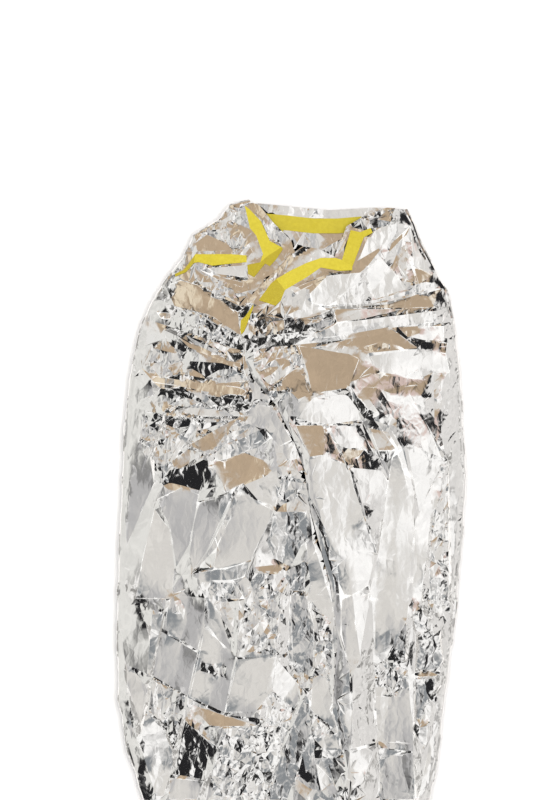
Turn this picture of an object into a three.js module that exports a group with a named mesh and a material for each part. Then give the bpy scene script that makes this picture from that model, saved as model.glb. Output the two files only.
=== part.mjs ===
// Folded emergency sleeping bag of metallised film, lying on its back.
// Millimetres, +Z up, +Y towards the mouth, +X to the right as seen from above.
// The bag is one thin sheet: its sides are folded over to the front, right over left, and its
// lower half is folded under crosswise. Yellow tape runs along the mouth.
import * as THREE from 'three';

const SHEET = 1.6;           // thickness of the film layers taken as one sheet
const TAPE = 0.9;            // thickness of the mouth tape
const GAP = 0.3;             // air between a tape and the film under it
const FOLD_Y = -500;         // the crosswise fold at the bottom
const FOOT_Y = 380;          // where the foot edge ends, under the upper half
const LOWER_INSET = 10;      // how far the lower half stays inside the upper outline
const SETTLE = 90;           // length over which the layers leave the crosswise fold

// Heights of the layers where they run round the crosswise fold, measured from its axis.
const TURN = { back: 2.5, left: 7, right: 11 };
const AXIS_Z = TURN.right + SHEET / 2;

const LIFT = 8;              // inner height of a side bend
const BACK_PUFF = 6;         // how far the upper back layer swells off the lower half
const LOWER_PUFF = 4;        // the same for the lower back layer

// The back layer's swell: how square its section is, how many settling lengths it takes from the
// crosswise fold, and how much of it is lost between two heights below the mouth.
const SWELL = { power: 2.5, settle: 1.5, loss: 0.75, from: 260, to: 500 };

// The front's swell over the back layer: its height, the width over which it rises from a side
// bend, and the share that it loses towards the mouth and towards the crosswise fold.
const CROWN = {
  height: 22, shoulder: 150,
  mouth: { from: 140, to: 500, loss: 0.7 },
  bottom: { from: 60, to: -420, loss: 0.35 },
};
const BEND_REACH = 4;        // how far the side bends reach in from the outline
const TUCK = 4.2;            // least step between the right flap and the left one under it
const FLOAT = 4.5;           // least step between a flap and the back layer
const TUCKED = { base: 5, share: 0.3 }; // height of the tucked flap: a step and a share of the crown
const COVER = { start: -20, full: 8 };  // where the left flap sinks, across the edge that covers it
const OVER_LEFT = 25;        // how far past the left flap's free edge the right flap still clears it
const FOLD_FADE = 28;        // width over which the folds fade out towards a side bend
const NORMAL_STEP = 0.04;    // share of the outline used to find its direction
const LEFT_UNDER = { from: -45, to: -12 }; // where the lower left flap lies over the lower right one
const ROW_POWER = 1.1;       // above 1 where the rows are closer together at the mouth
const MITRE_LIMIT = 0.5;     // least cosine of half a bend in a tape

// Cells of the sheet's grid across each panel and along each stretch.
const CELLS = { left: 13, back: 10, right: 14, bend: 3, upper: 44, turn: 5, lower: 8 };

// Outline of the upper half from the collar apex down, x and y in each row.
const OUTLINE = {
  left: [
    { x: -64, y: 497 }, { x: -93, y: 490 }, { x: -112, y: 468 }, { x: -146, y: 445 },
    { x: -161, y: 415 }, { x: -183, y: 386 }, { x: -207, y: 350 }, { x: -223, y: 313 },
    { x: -240, y: 240 }, { x: -249, y: 131 }, { x: -255, y: 0 }, { x: -258, y: -110 },
    { x: -257, y: -234 }, { x: -243, y: -307 }, { x: -221, y: -379 }, { x: -214, y: FOLD_Y },
  ],
  right: [
    { x: 167, y: 484 }, { x: 178, y: 463 }, { x: 188, y: 433 }, { x: 208, y: 398 },
    { x: 226, y: 363 }, { x: 237, y: 313 }, { x: 246, y: 240 }, { x: 249, y: 150 },
    { x: 255, y: 94 }, { x: 250, y: 21 }, { x: 240, y: -88 }, { x: 228, y: -198 },
    { x: 214, y: -307 }, { x: 202, y: -379 }, { x: 198, y: FOLD_Y },
  ],
};

// Mouth edge of each panel after the apex, x and y in each row.
const MOUTH = {
  left: [{ x: -50, y: 489 }, { x: -29, y: 463 }, { x: -3, y: 437 }, { x: 1, y: 423 }, { x: 12, y: 405 }],
  back: [{ x: -10, y: 488 }, { x: 55, y: 482 }, { x: 121, y: 486 }],
  right: [
    { x: 136, y: 485 }, { x: 108, y: 475 }, { x: 78, y: 458 }, { x: 67, y: 430 }, { x: 60, y: 413 },
    { x: 38, y: 424 }, { x: 16, y: 428 }, { x: -6, y: 414 }, { x: -44, y: 374 }, { x: -67, y: 350 },
    { x: -80, y: 317 }, { x: -74, y: 294 },
  ],
};

// Free edge of each flap below the mouth, down to the crosswise fold.
const FREE = {
  left: [
    { x: 12, y: 405 }, { x: 12, y: 233 }, { x: 41, y: 160 }, { x: 77, y: 87 }, { x: 88, y: -1 },
    { x: 117, y: -88 }, { x: 126, y: -234 }, { x: 140, y: FOLD_Y },
  ],
  right: [
    { x: -74, y: 294 }, { x: -70, y: 262 }, { x: -57, y: 233 }, { x: -26, y: 198 }, { x: 13, y: 122 },
    { x: 25, y: 42 }, { x: 54, y: -65 }, { x: 64, y: -147 }, { x: 57, y: -245 }, { x: 74, y: -335 },
    { x: 74, y: FOLD_Y },
  ],
};

// Free edge of each flap of the lower half at the foot.
const FOOT_FREE = { left: 120, right: 15 };

// The main folds of the front: height of the ridge, or of the trough where it is negative,
// how wide it spreads on each side, and the line that it follows.
const FOLDS = [
  { height: 8, width: 34, line: [[-169, 385], [-72, 320]] },
  { height: 7, width: 30, line: [[-193, 350], [-72, 296]] },
  { height: -7, width: 26, line: [[-207, 320], [-76, 276]] },
  { height: 10, width: 34, line: [[-188, 306], [-102, 266], [-69, 239]] },
  { height: 9, width: 32, line: [[-226, 244], [-193, 221], [-72, 203]] },
  { height: -8, width: 26, line: [[-175, 196], [-76, 186]] },
  { height: 8, width: 36, line: [[-77, 182], [-118, 131], [-98, 69]] },
  { height: 6, width: 30, line: [[-185, 183], [-190, 81]] },
  { height: -6, width: 34, line: [[-82, 72], [-149, -50]] },
  { height: 8, width: 36, line: [[-12, 90], [-26, 46], [-61, -30], [-123, -40]] },
  { height: 7, width: 34, line: [[-184, -88], [-197, -161], [-207, -220], [-219, -322]] },
  { height: -6, width: 30, line: [[-152, -90], [-166, -170], [-180, -250], [-194, -340]] },
  { height: 7, width: 32, line: [[-127, -88], [-137, -158], [-152, -220], [-175, -373]] },
  { height: -6, width: 28, line: [[-104, -90], [-110, -170], [-126, -250], [-148, -360]] },
  { height: 7, width: 32, line: [[-79, -88], [-82, -169], [-96, -242], [-127, -380]] },
  { height: 6, width: 30, line: [[-19, -88], [-25, -161], [-44, -234], [-61, -322]] },
  { height: -9, width: 40, line: [[-10, 58], [-3, -88], [1, -205], [-3, -264], [-44, -380]] },
  { height: 9, width: 38, line: [[160, 470], [130, 426], [77, 364]] },
  { height: -5, width: 26, line: [[160, 440], [146, 404], [117, 362]] },
  { height: 6, width: 32, line: [[176, 440], [180, 400], [186, 376]] },
  { height: -8, width: 30, line: [[216, 366], [187, 358], [136, 347], [70, 341], [0, 323]] },
  { height: 9, width: 34, line: [[223, 338], [158, 322], [55, 308], [-54, 296]] },
  { height: 9, width: 36, line: [[36, 204], [77, 110], [111, 14], [121, -20]] },
  { height: -9, width: 34, line: [[85, 204], [115, 142], [140, 87], [124, -10]] },
  { height: 9, width: 36, line: [[111, 204], [161, 136], [175, 65]] },
  { height: 7, width: 34, line: [[177, 192], [225, 116], [215, 77], [190, -62]] },
  { height: 8, width: 34, line: [[174, -116], [175, -379]] },
  { height: -8, width: 34, line: [[121, -60], [118, -177], [124, -293], [127, -379]] },
  { height: 8, width: 34, line: [[63, -125], [86, -204], [86, -274], [76, -358]] },
];

// Stretches of the mouth tape that show: centre line with the width in each row.
const TAPES = [
  {
    name: 'mouth_tape_left', panel: 'left',
    path: [
      { x: -64, y: 487, wide: 8 }, { x: -56, y: 464, wide: 15 }, { x: -44, y: 438, wide: 18 },
      { x: -30, y: 418, wide: 20 }, { x: -50, y: 400, wide: 17 }, { x: -65, y: 391, wide: 17 },
    ],
  },
  {
    name: 'mouth_tape_shoulder', panel: 'left',
    path: [
      { x: -68, y: 410, wide: 10 }, { x: -90, y: 411, wide: 14 }, { x: -118, y: 409, wide: 18 },
      { x: -140, y: 409, wide: 15 }, { x: -155, y: 394, wide: 8 }, { x: -172, y: 386, wide: 6 },
    ],
  },
  {
    name: 'mouth_tape_right', panel: 'right',
    path: [
      { x: 98, y: 450, wide: 22 }, { x: 92, y: 438, wide: 18 }, { x: 77, y: 403, wide: 15 },
      { x: 41, y: 403, wide: 15 }, { x: 22, y: 395, wide: 19 }, { x: -4, y: 382, wide: 21 },
      { x: -19, y: 371, wide: 21 }, { x: -35, y: 350, wide: 24 }, { x: -52, y: 340, wide: 9 },
      { x: -67, y: 325, wide: 8 }, { x: -73, y: 306, wide: 5 },
    ],
  },
  {
    name: 'mouth_tape_back', panel: 'back',
    path: [
      { x: -40, y: 466, wide: 21 }, { x: -5, y: 463, wide: 21 }, { x: 30, y: 459, wide: 21 },
      { x: 65, y: 459, wide: 21 }, { x: 100, y: 462, wide: 21 },
    ],
  },
];
const TAPE_STEP = 9;         // spacing of a tape's stations along its path
const LIFT_SAMPLES = 10;     // test points each way on a tape's cell
const EDGE_SLACK = 1e-6;     // how far outside a triangle a point still counts as on it

const COLOURS = { film: '#d9d6d0', tape: '#d8c832' };

const lerp = THREE.MathUtils.lerp;
const ease = (value, low, high) => THREE.MathUtils.smoothstep(value, low, high);

// A point at a share of a polyline's length.
function along(points, share) {
  const steps = points.slice(1).map((p, i) => Math.hypot(p.x - points[i].x, p.y - points[i].y));
  let left = share * steps.reduce((sum, step) => sum + step, 0);
  let i = 0;
  while (i < steps.length - 1 && left > steps[i]) {
    left -= steps[i];
    i += 1;
  }
  const part = Math.min(left / steps[i], 1);
  return { x: lerp(points[i].x, points[i + 1].x, part), y: lerp(points[i].y, points[i + 1].y, part) };
}

// The x of a line that runs from the mouth down, at a given y.
function acrossAt(points, y) {
  if (y >= points[0].y) return points[0].x;
  for (let i = 1; i < points.length; i += 1) {
    const [above, below] = [points[i - 1], points[i]];
    if (y >= below.y) return lerp(above.x, below.x, (above.y - y) / (above.y - below.y || 1));
  }
  return points[points.length - 1].x;
}

function distanceToLine(x, y, line) {
  let least = Infinity;
  for (let i = 1; i < line.length; i += 1) {
    const [ax, ay] = line[i - 1];
    const [dx, dy] = [line[i][0] - ax, line[i][1] - ay];
    const share = THREE.MathUtils.clamp(((x - ax) * dx + (y - ay) * dy) / (dx * dx + dy * dy), 0, 1);
    least = Math.min(least, Math.hypot(x - ax - share * dx, y - ay - share * dy));
  }
  return least;
}

// The edge of the right flap as it lies over the left one, from the neck down.
const OVERLAP = [...MOUTH.right.slice(6, -1), ...FREE.right];

const sideX = (side, y) => acrossAt(OUTLINE[side], y);

// 0 at the outline and at the crosswise fold, 1 in the middle of the bag.
function swell(x, y) {
  const [low, high] = [sideX('left', y), sideX('right', y)];
  const across = (2 * x - low - high) / (high - low);
  const flat = 1 - Math.min(Math.abs(across), 1) ** SWELL.power;
  const settled = ease(y, FOLD_Y, FOLD_Y + SWELL.settle * SETTLE);
  return flat * settled * (1 - SWELL.loss * ease(y, SWELL.from, SWELL.to));
}

const backHeight = (x, y) => AXIS_Z + TURN.back + BACK_PUFF * swell(x, y);

// Distance in from the nearer side bend.
const inward = (x, y) => Math.max(0, Math.min(x - sideX('left', y), sideX('right', y) - x) - BEND_REACH);

// How far the front swells over the back layer, without its folds.
function crown(x, y) {
  const { mouth, bottom } = CROWN;
  const rise = 1 - (1 - Math.min(inward(x, y) / CROWN.shoulder, 1)) ** 2;
  const upwards = THREE.MathUtils.clamp((y - mouth.from) / (mouth.to - mouth.from), 0, 1);
  const downwards = ease(-y, -bottom.from, -bottom.to);
  return CROWN.height * rise * (1 - mouth.loss * upwards) * (1 - bottom.loss * downwards);
}

function folds(x, y) {
  const fade = Math.min(inward(x, y) / FOLD_FADE, 1);
  let sum = 0;
  for (const fold of FOLDS) {
    sum += fold.height * Math.max(0, 1 - distanceToLine(x, y, fold.line) / fold.width);
  }
  return sum * fade;
}

const frontHeight = (x, y) => backHeight(x, y) + LIFT + crown(x, y) + folds(x, y);
const tuckedHeight = (x, y) => backHeight(x, y) + TUCKED.base + TUCKED.share * crown(x, y);

const HEIGHT = {
  back: backHeight,
  left(x, y) {
    const under = ease(x - acrossAt(OVERLAP, y), COVER.start, COVER.full);
    const open = Math.max(frontHeight(x, y), backHeight(x, y) + FLOAT);
    const free = lerp(open, tuckedHeight(x, y), under);
    return lerp(AXIS_Z + TURN.left, free, ease(y, FOLD_Y, FOLD_Y + SETTLE));
  },
  right(x, y) {
    const overLeft = x < acrossAt(FREE.left, y) + OVER_LEFT;
    const floor = overLeft ? tuckedHeight(x, y) + TUCK : backHeight(x, y) + FLOAT;
    return lerp(AXIS_Z + TURN.right, Math.max(frontHeight(x, y), floor), ease(y, FOLD_Y, FOLD_Y + SETTLE));
  },
};

// Half of a side bend's height at a row of the upper half.
function bendRadius(side, y) {
  return lerp((TURN[side] - TURN.back) / 2, LIFT / 2, ease(y, FOLD_Y, FOLD_Y + SETTLE));
}

// The outline's point and its outward direction at a share of the upper half's length.
function outlineAt(side, share) {
  const point = along(OUTLINE[side], share);
  const before = along(OUTLINE[side], Math.max(share - NORMAL_STEP, 0));
  const after = along(OUTLINE[side], Math.min(share + NORMAL_STEP, 1));
  const turn = side === 'left' ? 1 : -1;
  const out = new THREE.Vector2(turn * (after.y - before.y), -turn * (after.x - before.x)).normalize();
  return { ...point, out };
}

// The line where a flap or the back layer passes into a side bend.
function bendLine(side, share) {
  const edge = outlineAt(side, share);
  const radius = bendRadius(side, edge.y);
  return { x: edge.x - edge.out.x * radius, y: edge.y - edge.out.y * radius };
}

// A patch between four edges: mouth and bottom along a, start and end along v.
function patch(mouth, bottom, start, end, a, v) {
  const [m, b, s, e] = [mouth(a), bottom(a), start(v), end(v)];
  const [m0, m1, b0, b1] = [mouth(0), mouth(1), bottom(0), bottom(1)];
  const mix = (k) => (1 - v) * m[k] + v * b[k] + (1 - a) * s[k] + a * e[k]
    - (1 - a) * (1 - v) * m0[k] - a * (1 - v) * m1[k] - (1 - a) * v * b0[k] - a * v * b1[k];
  return { x: mix('x'), y: mix('y') };
}

function flapPoint(side, a, v) {
  const start = (share) => bendLine(side, share);
  const mouth = (share) => along([start(0), ...MOUTH[side]], share);
  const end = (share) => along(FREE[side], share);
  const bottom = (share) => along([start(1), FREE[side].at(-1)], share);
  return patch(mouth, bottom, start, end, a, v);
}

function backPoint(a, v) {
  const start = (share) => bendLine('left', share);
  const end = (share) => bendLine('right', share);
  const mouth = (share) => along([start(0), ...MOUTH.back, end(0)], share);
  const bottom = (share) => along([start(1), end(1)], share);
  return patch(mouth, bottom, start, end, a, v);
}

// One column of the grid is a place on the section, from the left flap's free edge over the
// left bend, the back layer and the right bend to the right flap's free edge.
const COLUMNS = [];
for (let i = 0; i < CELLS.left; i += 1) COLUMNS.push({ panel: 'left', a: 1 - i / CELLS.left });
for (let i = 0; i < CELLS.bend; i += 1) COLUMNS.push({ bend: 'left', turn: (Math.PI * i) / CELLS.bend });
for (let i = 0; i < CELLS.back; i += 1) COLUMNS.push({ panel: 'back', a: i / CELLS.back });
for (let i = 0; i < CELLS.bend; i += 1) {
  COLUMNS.push({ bend: 'right', turn: Math.PI * (1 - i / CELLS.bend) });
}
for (let i = 0; i <= CELLS.right; i += 1) COLUMNS.push({ panel: 'right', a: i / CELLS.right });

function upperPoint(column, v) {
  if (column.panel === 'back') {
    const p = backPoint(column.a, v);
    return new THREE.Vector3(p.x, p.y, backHeight(p.x, p.y));
  }
  if (column.panel) {
    const p = flapPoint(column.panel, column.a, v);
    const z = column.a === 0 ? backHeight(p.x, p.y) + 2 * bendRadius(column.panel, p.y)
      : HEIGHT[column.panel](p.x, p.y);
    return new THREE.Vector3(p.x, p.y, z);
  }
  const line = bendLine(column.bend, v);
  const { out } = outlineAt(column.bend, v);
  const radius = bendRadius(column.bend, line.y);
  const reach = radius * Math.sin(column.turn);
  const z = backHeight(line.x, line.y) + radius * (1 + Math.cos(column.turn));
  return new THREE.Vector3(line.x + out.x * reach, line.y + out.y * reach, z);
}

// The section of the lower half: x and depth below the fold's axis at a given y.
function lowerSection(column, y) {
  const settled = ease(y, FOLD_Y, FOLD_Y + SETTLE);
  const inset = LOWER_INSET * settled;
  const swollen = LOWER_PUFF * swell(0, y) * settled;
  const depth = { back: TURN.back, left: lerp(TURN.left, TURN.right, settled), right: TURN.right };
  const shareUp = (y - FOLD_Y) / (FOOT_Y - FOLD_Y);
  const edgeX = (side) => {
    const sign = side === 'left' ? 1 : -1;
    const radius = (depth[side] - depth.back) / 2;
    return { x: sideX(side, y) + sign * (inset + radius), radius, sign };
  };
  if (column.bend) {
    const { x, radius, sign } = edgeX(column.bend);
    return { x: x - sign * radius * Math.sin(column.turn), depth: depth.back + radius * (1 + Math.cos(column.turn)) };
  }
  if (column.panel === 'back') {
    const [low, high] = [edgeX('left').x, edgeX('right').x];
    const bow = 1 - (2 * column.a - 1) ** 2;
    return { x: lerp(low, high, column.a), depth: depth.back - swollen * bow };
  }
  const side = column.panel;
  const freeX = (which) => lerp(FREE[which].at(-1).x, FOOT_FREE[which], shareUp);
  const x = lerp(edgeX(side).x, freeX(side), column.a);
  if (side === 'right') return { x, depth: depth.right };
  const covered = ease(x - freeX('right'), LEFT_UNDER.from, LEFT_UNDER.to);
  return { x, depth: lerp(depth.left, TURN.left, covered) };
}

function turnPoint(column, angle) {
  const { x, depth } = lowerSection(column, FOLD_Y);
  return new THREE.Vector3(x, FOLD_Y - depth * Math.sin(angle), AXIS_Z + depth * Math.cos(angle));
}

function lowerPoint(column, y) {
  const { x, depth } = lowerSection(column, y);
  return new THREE.Vector3(x, y, AXIS_Z - depth);
}

// Rows of the grid: down the upper half, round the crosswise fold, up the lower half.
const ROWS = [];
for (let j = 0; j < CELLS.upper; j += 1) {
  const v = (j / CELLS.upper) ** ROW_POWER;
  ROWS.push((column) => upperPoint(column, v));
}
for (let j = 0; j < CELLS.turn; j += 1) {
  ROWS.push((column) => turnPoint(column, (Math.PI * j) / CELLS.turn));
}
for (let j = 0; j <= CELLS.lower; j += 1) {
  const y = lerp(FOLD_Y, FOOT_Y, j / CELLS.lower);
  ROWS.push((column) => lowerPoint(column, y));
}

// The points of a grid moved along their normals.
function offsetGrid(grid, distance) {
  const [rows, columns] = [grid.length, grid[0].length];
  const at = (j, i) => grid[THREE.MathUtils.clamp(j, 0, rows - 1)][THREE.MathUtils.clamp(i, 0, columns - 1)];
  return grid.map((row, j) => row.map((point, i) => {
    const across = at(j, i + 1).clone().sub(at(j, i - 1));
    const down = at(j + 1, i).clone().sub(at(j - 1, i));
    return point.clone().addScaledVector(across.cross(down).normalize(), distance);
  }));
}

// A closed solid between two faces offset from a grid of points.
function sheetSolid(grid, below, above) {
  const [rows, columns] = [grid.length, grid[0].length];
  const faces = [offsetGrid(grid, above), offsetGrid(grid, -below)];
  const positions = faces.flat(2).flatMap((point) => point.toArray());
  const index = [];
  const outer = (j, i) => j * columns + i;
  const inner = (j, i) => (rows + j) * columns + i;
  for (let j = 0; j + 1 < rows; j += 1) {
    for (let i = 0; i + 1 < columns; i += 1) {
      index.push(outer(j, i), outer(j, i + 1), outer(j + 1, i + 1));
      index.push(outer(j, i), outer(j + 1, i + 1), outer(j + 1, i));
      index.push(inner(j, i), inner(j + 1, i + 1), inner(j, i + 1));
      index.push(inner(j, i), inner(j + 1, i), inner(j + 1, i + 1));
    }
  }
  const rim = (a, b) => {
    index.push(outer(...a), inner(...a), outer(...b));
    index.push(outer(...b), inner(...a), inner(...b));
  };
  for (let i = 0; i + 1 < columns; i += 1) {
    rim([0, i], [0, i + 1]);
    rim([rows - 1, i + 1], [rows - 1, i]);
  }
  for (let j = 0; j + 1 < rows; j += 1) {
    rim([j + 1, 0], [j, 0]);
    rim([j, columns - 1], [j + 1, columns - 1]);
  }
  const geometry = new THREE.BufferGeometry();
  geometry.setAttribute('position', new THREE.Float32BufferAttribute(positions, 3));
  geometry.setIndex(index);
  geometry.computeVertexNormals();
  return geometry;
}

const film = ROWS.map((row) => COLUMNS.map((column) => row(column)));

// The face of a panel that is seen from above, as a list of triangles.
function seenFace(panel) {
  const face = offsetGrid(film, panel === 'back' ? -SHEET / 2 : SHEET / 2);
  const used = COLUMNS.map((column, i) => (column.panel === panel ? i : -1)).filter((i) => i >= 0);
  const [first, last] = [used[0], Math.min(used.at(-1) + 1, COLUMNS.length - 1)];
  const triangles = [];
  for (let j = 0; j + 1 < CELLS.upper; j += 1) {
    for (let i = first; i < last; i += 1) {
      triangles.push([face[j][i], face[j][i + 1], face[j + 1][i + 1]]);
      triangles.push([face[j][i], face[j + 1][i + 1], face[j + 1][i]]);
    }
  }
  return triangles;
}

// Height of the highest of a list of triangles over a point of the plan.
function heightOn(triangles, x, y) {
  let top = -Infinity;
  for (const [a, b, c] of triangles) {
    const area = (b.x - a.x) * (c.y - a.y) - (c.x - a.x) * (b.y - a.y);
    const u = ((x - a.x) * (c.y - a.y) - (c.x - a.x) * (y - a.y)) / area;
    const w = ((b.x - a.x) * (y - a.y) - (x - a.x) * (b.y - a.y)) / area;
    if (Math.min(u, w, 1 - u - w) > -EDGE_SLACK) top = Math.max(top, a.z + u * (b.z - a.z) + w * (c.z - a.z));
  }
  return top;
}

// Stations along a tape's path, with the two edge points of each, mitred at its bends.
function tapeStations(path) {
  const stations = [];
  for (let i = 0; i < path.length; i += 1) {
    const [before, here, after] = [path[i - 1] ?? path[i], path[i], path[i + 1] ?? path[i]];
    const arrive = new THREE.Vector2(here.x - before.x, here.y - before.y).normalize();
    const leave = new THREE.Vector2(after.x - here.x, after.y - here.y).normalize();
    const heading = arrive.clone().add(leave).normalize();
    const side = new THREE.Vector2(-heading.y, heading.x);
    const straight = i > 0 ? arrive : leave;
    const stretch = 1 / Math.max(Math.abs(heading.dot(straight)), MITRE_LIMIT);
    stations.push({ here, reach: side.multiplyScalar((here.wide / 2) * stretch) });
  }
  const fine = [];
  for (let i = 0; i + 1 < stations.length; i += 1) {
    const [from, to] = [stations[i], stations[i + 1]];
    const steps = Math.max(1, Math.round(Math.hypot(to.here.x - from.here.x, to.here.y - from.here.y) / TAPE_STEP));
    for (let k = i ? 1 : 0; k <= steps; k += 1) {
      const share = k / steps;
      const centre = new THREE.Vector2(lerp(from.here.x, to.here.x, share), lerp(from.here.y, to.here.y, share));
      const reach = from.reach.clone().lerp(to.reach, share);
      fine.push([centre.clone().add(reach), centre, centre.clone().sub(reach)]);
    }
  }
  return fine;
}

// A tape's grid: it lies on the film and is lifted where the film bulges between stations.
function tapeGrid(tape) {
  const face = seenFace(tape.panel);
  const rows = tapeStations(tape.path).map((row) => row.map((p) => {
    return new THREE.Vector3(p.x, p.y, heightOn(face, p.x, p.y) + GAP);
  }));
  const lift = rows.map(() => 0);
  for (let j = 0; j + 1 < rows.length; j += 1) {
    let need = 0;
    for (let s = 0; s <= LIFT_SAMPLES; s += 1) {
      for (let k = 0; k <= 2 * LIFT_SAMPLES; k += 1) {
        const [share, place] = [s / LIFT_SAMPLES, k / LIFT_SAMPLES];
        const i = Math.min(Math.floor(place), 1);
        const part = place - i;
        const [a, b, c, d] = [rows[j][i], rows[j][i + 1], rows[j + 1][i + 1], rows[j + 1][i]];
        const spot = part >= share
          ? a.clone().lerp(b, part).addScaledVector(c.clone().sub(b), share)
          : a.clone().lerp(d, share).addScaledVector(c.clone().sub(d), part);
        need = Math.max(need, heightOn(face, spot.x, spot.y) + GAP - spot.z);
      }
    }
    lift[j] = Math.max(lift[j], need);
    lift[j + 1] = Math.max(lift[j + 1], need);
  }
  rows.forEach((row, j) => row.forEach((p) => { p.z += lift[j]; }));
  return rows;
}

const bag = new THREE.Group();

function add(name, geometry, colour, roughness, metalness) {
  const material = new THREE.MeshStandardMaterial({ color: colour, roughness, metalness });
  const mesh = new THREE.Mesh(geometry, material);
  mesh.name = name;
  bag.add(mesh);
}

add('foil_bag', sheetSolid(film, SHEET / 2, SHEET / 2), COLOURS.film, 0.15, 1);
for (const tape of TAPES) {
  add(tape.name, sheetSolid(tapeGrid(tape), 0, TAPE), COLOURS.tape, 0.6, 0);
}

// The frame's origin is under the middle of the bag, on the surface that it lies on.
const box = new THREE.Box3().setFromObject(bag);
const middle = box.getCenter(new THREE.Vector3());
bag.position.set(-middle.x, -middle.y, -box.min.z);

export default bag;
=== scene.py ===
import math
from collections import namedtuple

import bpy
import numpy as np
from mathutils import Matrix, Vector
from mathutils.bvhtree import BVHTree
from mathutils.geometry import delaunay_2d_cdt


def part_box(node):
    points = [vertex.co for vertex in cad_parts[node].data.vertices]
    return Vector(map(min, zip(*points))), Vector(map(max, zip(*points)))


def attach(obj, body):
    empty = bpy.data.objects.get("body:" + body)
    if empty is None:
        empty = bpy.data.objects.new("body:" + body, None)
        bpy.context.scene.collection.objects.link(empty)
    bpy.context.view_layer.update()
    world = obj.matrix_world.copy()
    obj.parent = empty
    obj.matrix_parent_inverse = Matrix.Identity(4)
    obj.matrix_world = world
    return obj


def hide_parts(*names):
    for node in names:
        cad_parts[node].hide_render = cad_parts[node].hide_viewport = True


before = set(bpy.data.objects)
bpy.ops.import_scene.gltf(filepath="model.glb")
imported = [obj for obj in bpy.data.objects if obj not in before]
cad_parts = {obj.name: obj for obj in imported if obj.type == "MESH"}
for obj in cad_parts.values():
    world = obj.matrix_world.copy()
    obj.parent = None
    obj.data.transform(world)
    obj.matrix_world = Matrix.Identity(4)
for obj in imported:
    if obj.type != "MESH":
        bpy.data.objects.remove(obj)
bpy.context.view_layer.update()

# Folded emergency sleeping bag of metallised film, seen from straight above.
# Plan sizes are in millimetres with +Y towards the mouth; the frame is in metres.
MM = 0.001
SHEET = 1.6             # thickness that stands for the bag's films
FOLD_Y = -500.0         # the crosswise fold
FOOT_Y = 380.0          # where the lower half ends, under the back layer
LOWER_INSET = 10.0      # how far the lower half's sides lie inside the upper half's
SETTLE = 90.0           # run over which the layers open out from the crosswise fold
SOFT_START = 0.5        # run over which creases come in from that fold, in settling runs
TURN = {"back": 2.5, "left": 7.0, "right": 11.0}       # radius of each layer's turn at that fold
AXIS_Z = TURN["right"] + SHEET / 2
LIFT = 8.0              # from the back layer to the folded sides, at the side bends
BACK_PUFF = 6.0         # how far the back layer is raised in its middle
LOWER_PUFF = 4.0        # and the lower half
PUFF_POWER = 2.5        # how flat the puff is across the bag
PUFF_START = 1.5        # run from the crosswise fold to the full puff, in settling runs
PUFF_MOUTH = (260, 500, 0.75)      # from and to where it falls off towards the mouth, and how much
CROWN = 22.0            # how far the folded sides stand up over the side bends
CROWN_MOUTH = (140, 500, 0.7)      # from and to where the crown falls off, and how much
CROWN_FOOT = (60, -420, 0.35)      # the same towards the foot
BEND_REACH = 4.0        # width of a side bend
SHOULDER = 150.0        # run from a side bend to the full crown
FOLD_FADE = 28.0        # width of the band along the side bends where the folds die out
TUCKED = (5.0, 0.3)     # the left side under the right one: its lift, and its share of the crown
TUCK_RUN = (1, 18)      # run over which the left side goes down under the right one
TUCK_REACH = 25.0       # how far past the left side's free edge the right one still lies over it
ROLL = (0.8, 2.0)       # the right side's lift off the left one, and the roll along its free edge
ROLL_RUN = (14, 24, 80)            # where the roll is full, starts to fall off and ends
FILM_GAP = 3.0          # least step between two layers of the film where they cross
APEX_Y = 497.2          # highest point of the collar in the plan
WEST_X = -258.15        # leftmost point of the outline in the plan

BOX_LOW, BOX_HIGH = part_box("foil_bag")
SHIFT = np.array([BOX_LOW.x / MM - WEST_X, BOX_HIGH.y / MM - APEX_Y, 0.0])

OUTLINE = {
    "left": [
        (-64, 497), (-93, 490), (-112, 468), (-146, 445), (-161, 415), (-183, 386), (-207, 350),
        (-223, 313), (-240, 240), (-249, 131), (-255, 0), (-258, -110), (-257, -234), (-243, -307),
        (-221, -379), (-214, FOLD_Y),
    ],
    "right": [
        (167, 484), (178, 463), (188, 433), (208, 398), (226, 363), (237, 313), (246, 240),
        (249, 150), (255, 94), (250, 21), (240, -88), (228, -198), (214, -307), (202, -379),
        (198, FOLD_Y),
    ],
}
MOUTH = {
    "left": [(-50, 489), (-29, 463), (-3, 437), (1, 423), (12, 405)],
    "back": [(-10, 488), (55, 482), (121, 486)],
    "right": [
        (136, 485), (108, 475), (78, 458), (67, 430), (60, 413), (38, 424), (16, 428), (-6, 414),
        (-44, 374), (-67, 350), (-80, 317), (-74, 294),
    ],
}
FREE = {
    "left": [
        (12, 405), (12, 233), (41, 160), (77, 87), (88, -1), (117, -88), (126, -234), (140, FOLD_Y),
    ],
    "right": [
        (-74, 294), (-70, 262), (-57, 233), (-26, 198), (13, 122), (25, 42), (54, -65), (64, -147),
        (57, -245), (74, -335), (74, FOLD_Y),
    ],
}
FOOT_FREE = {"left": 120.0, "right": 15.0}
OVERLAP = MOUTH["right"][6:-1] + FREE["right"]

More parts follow.
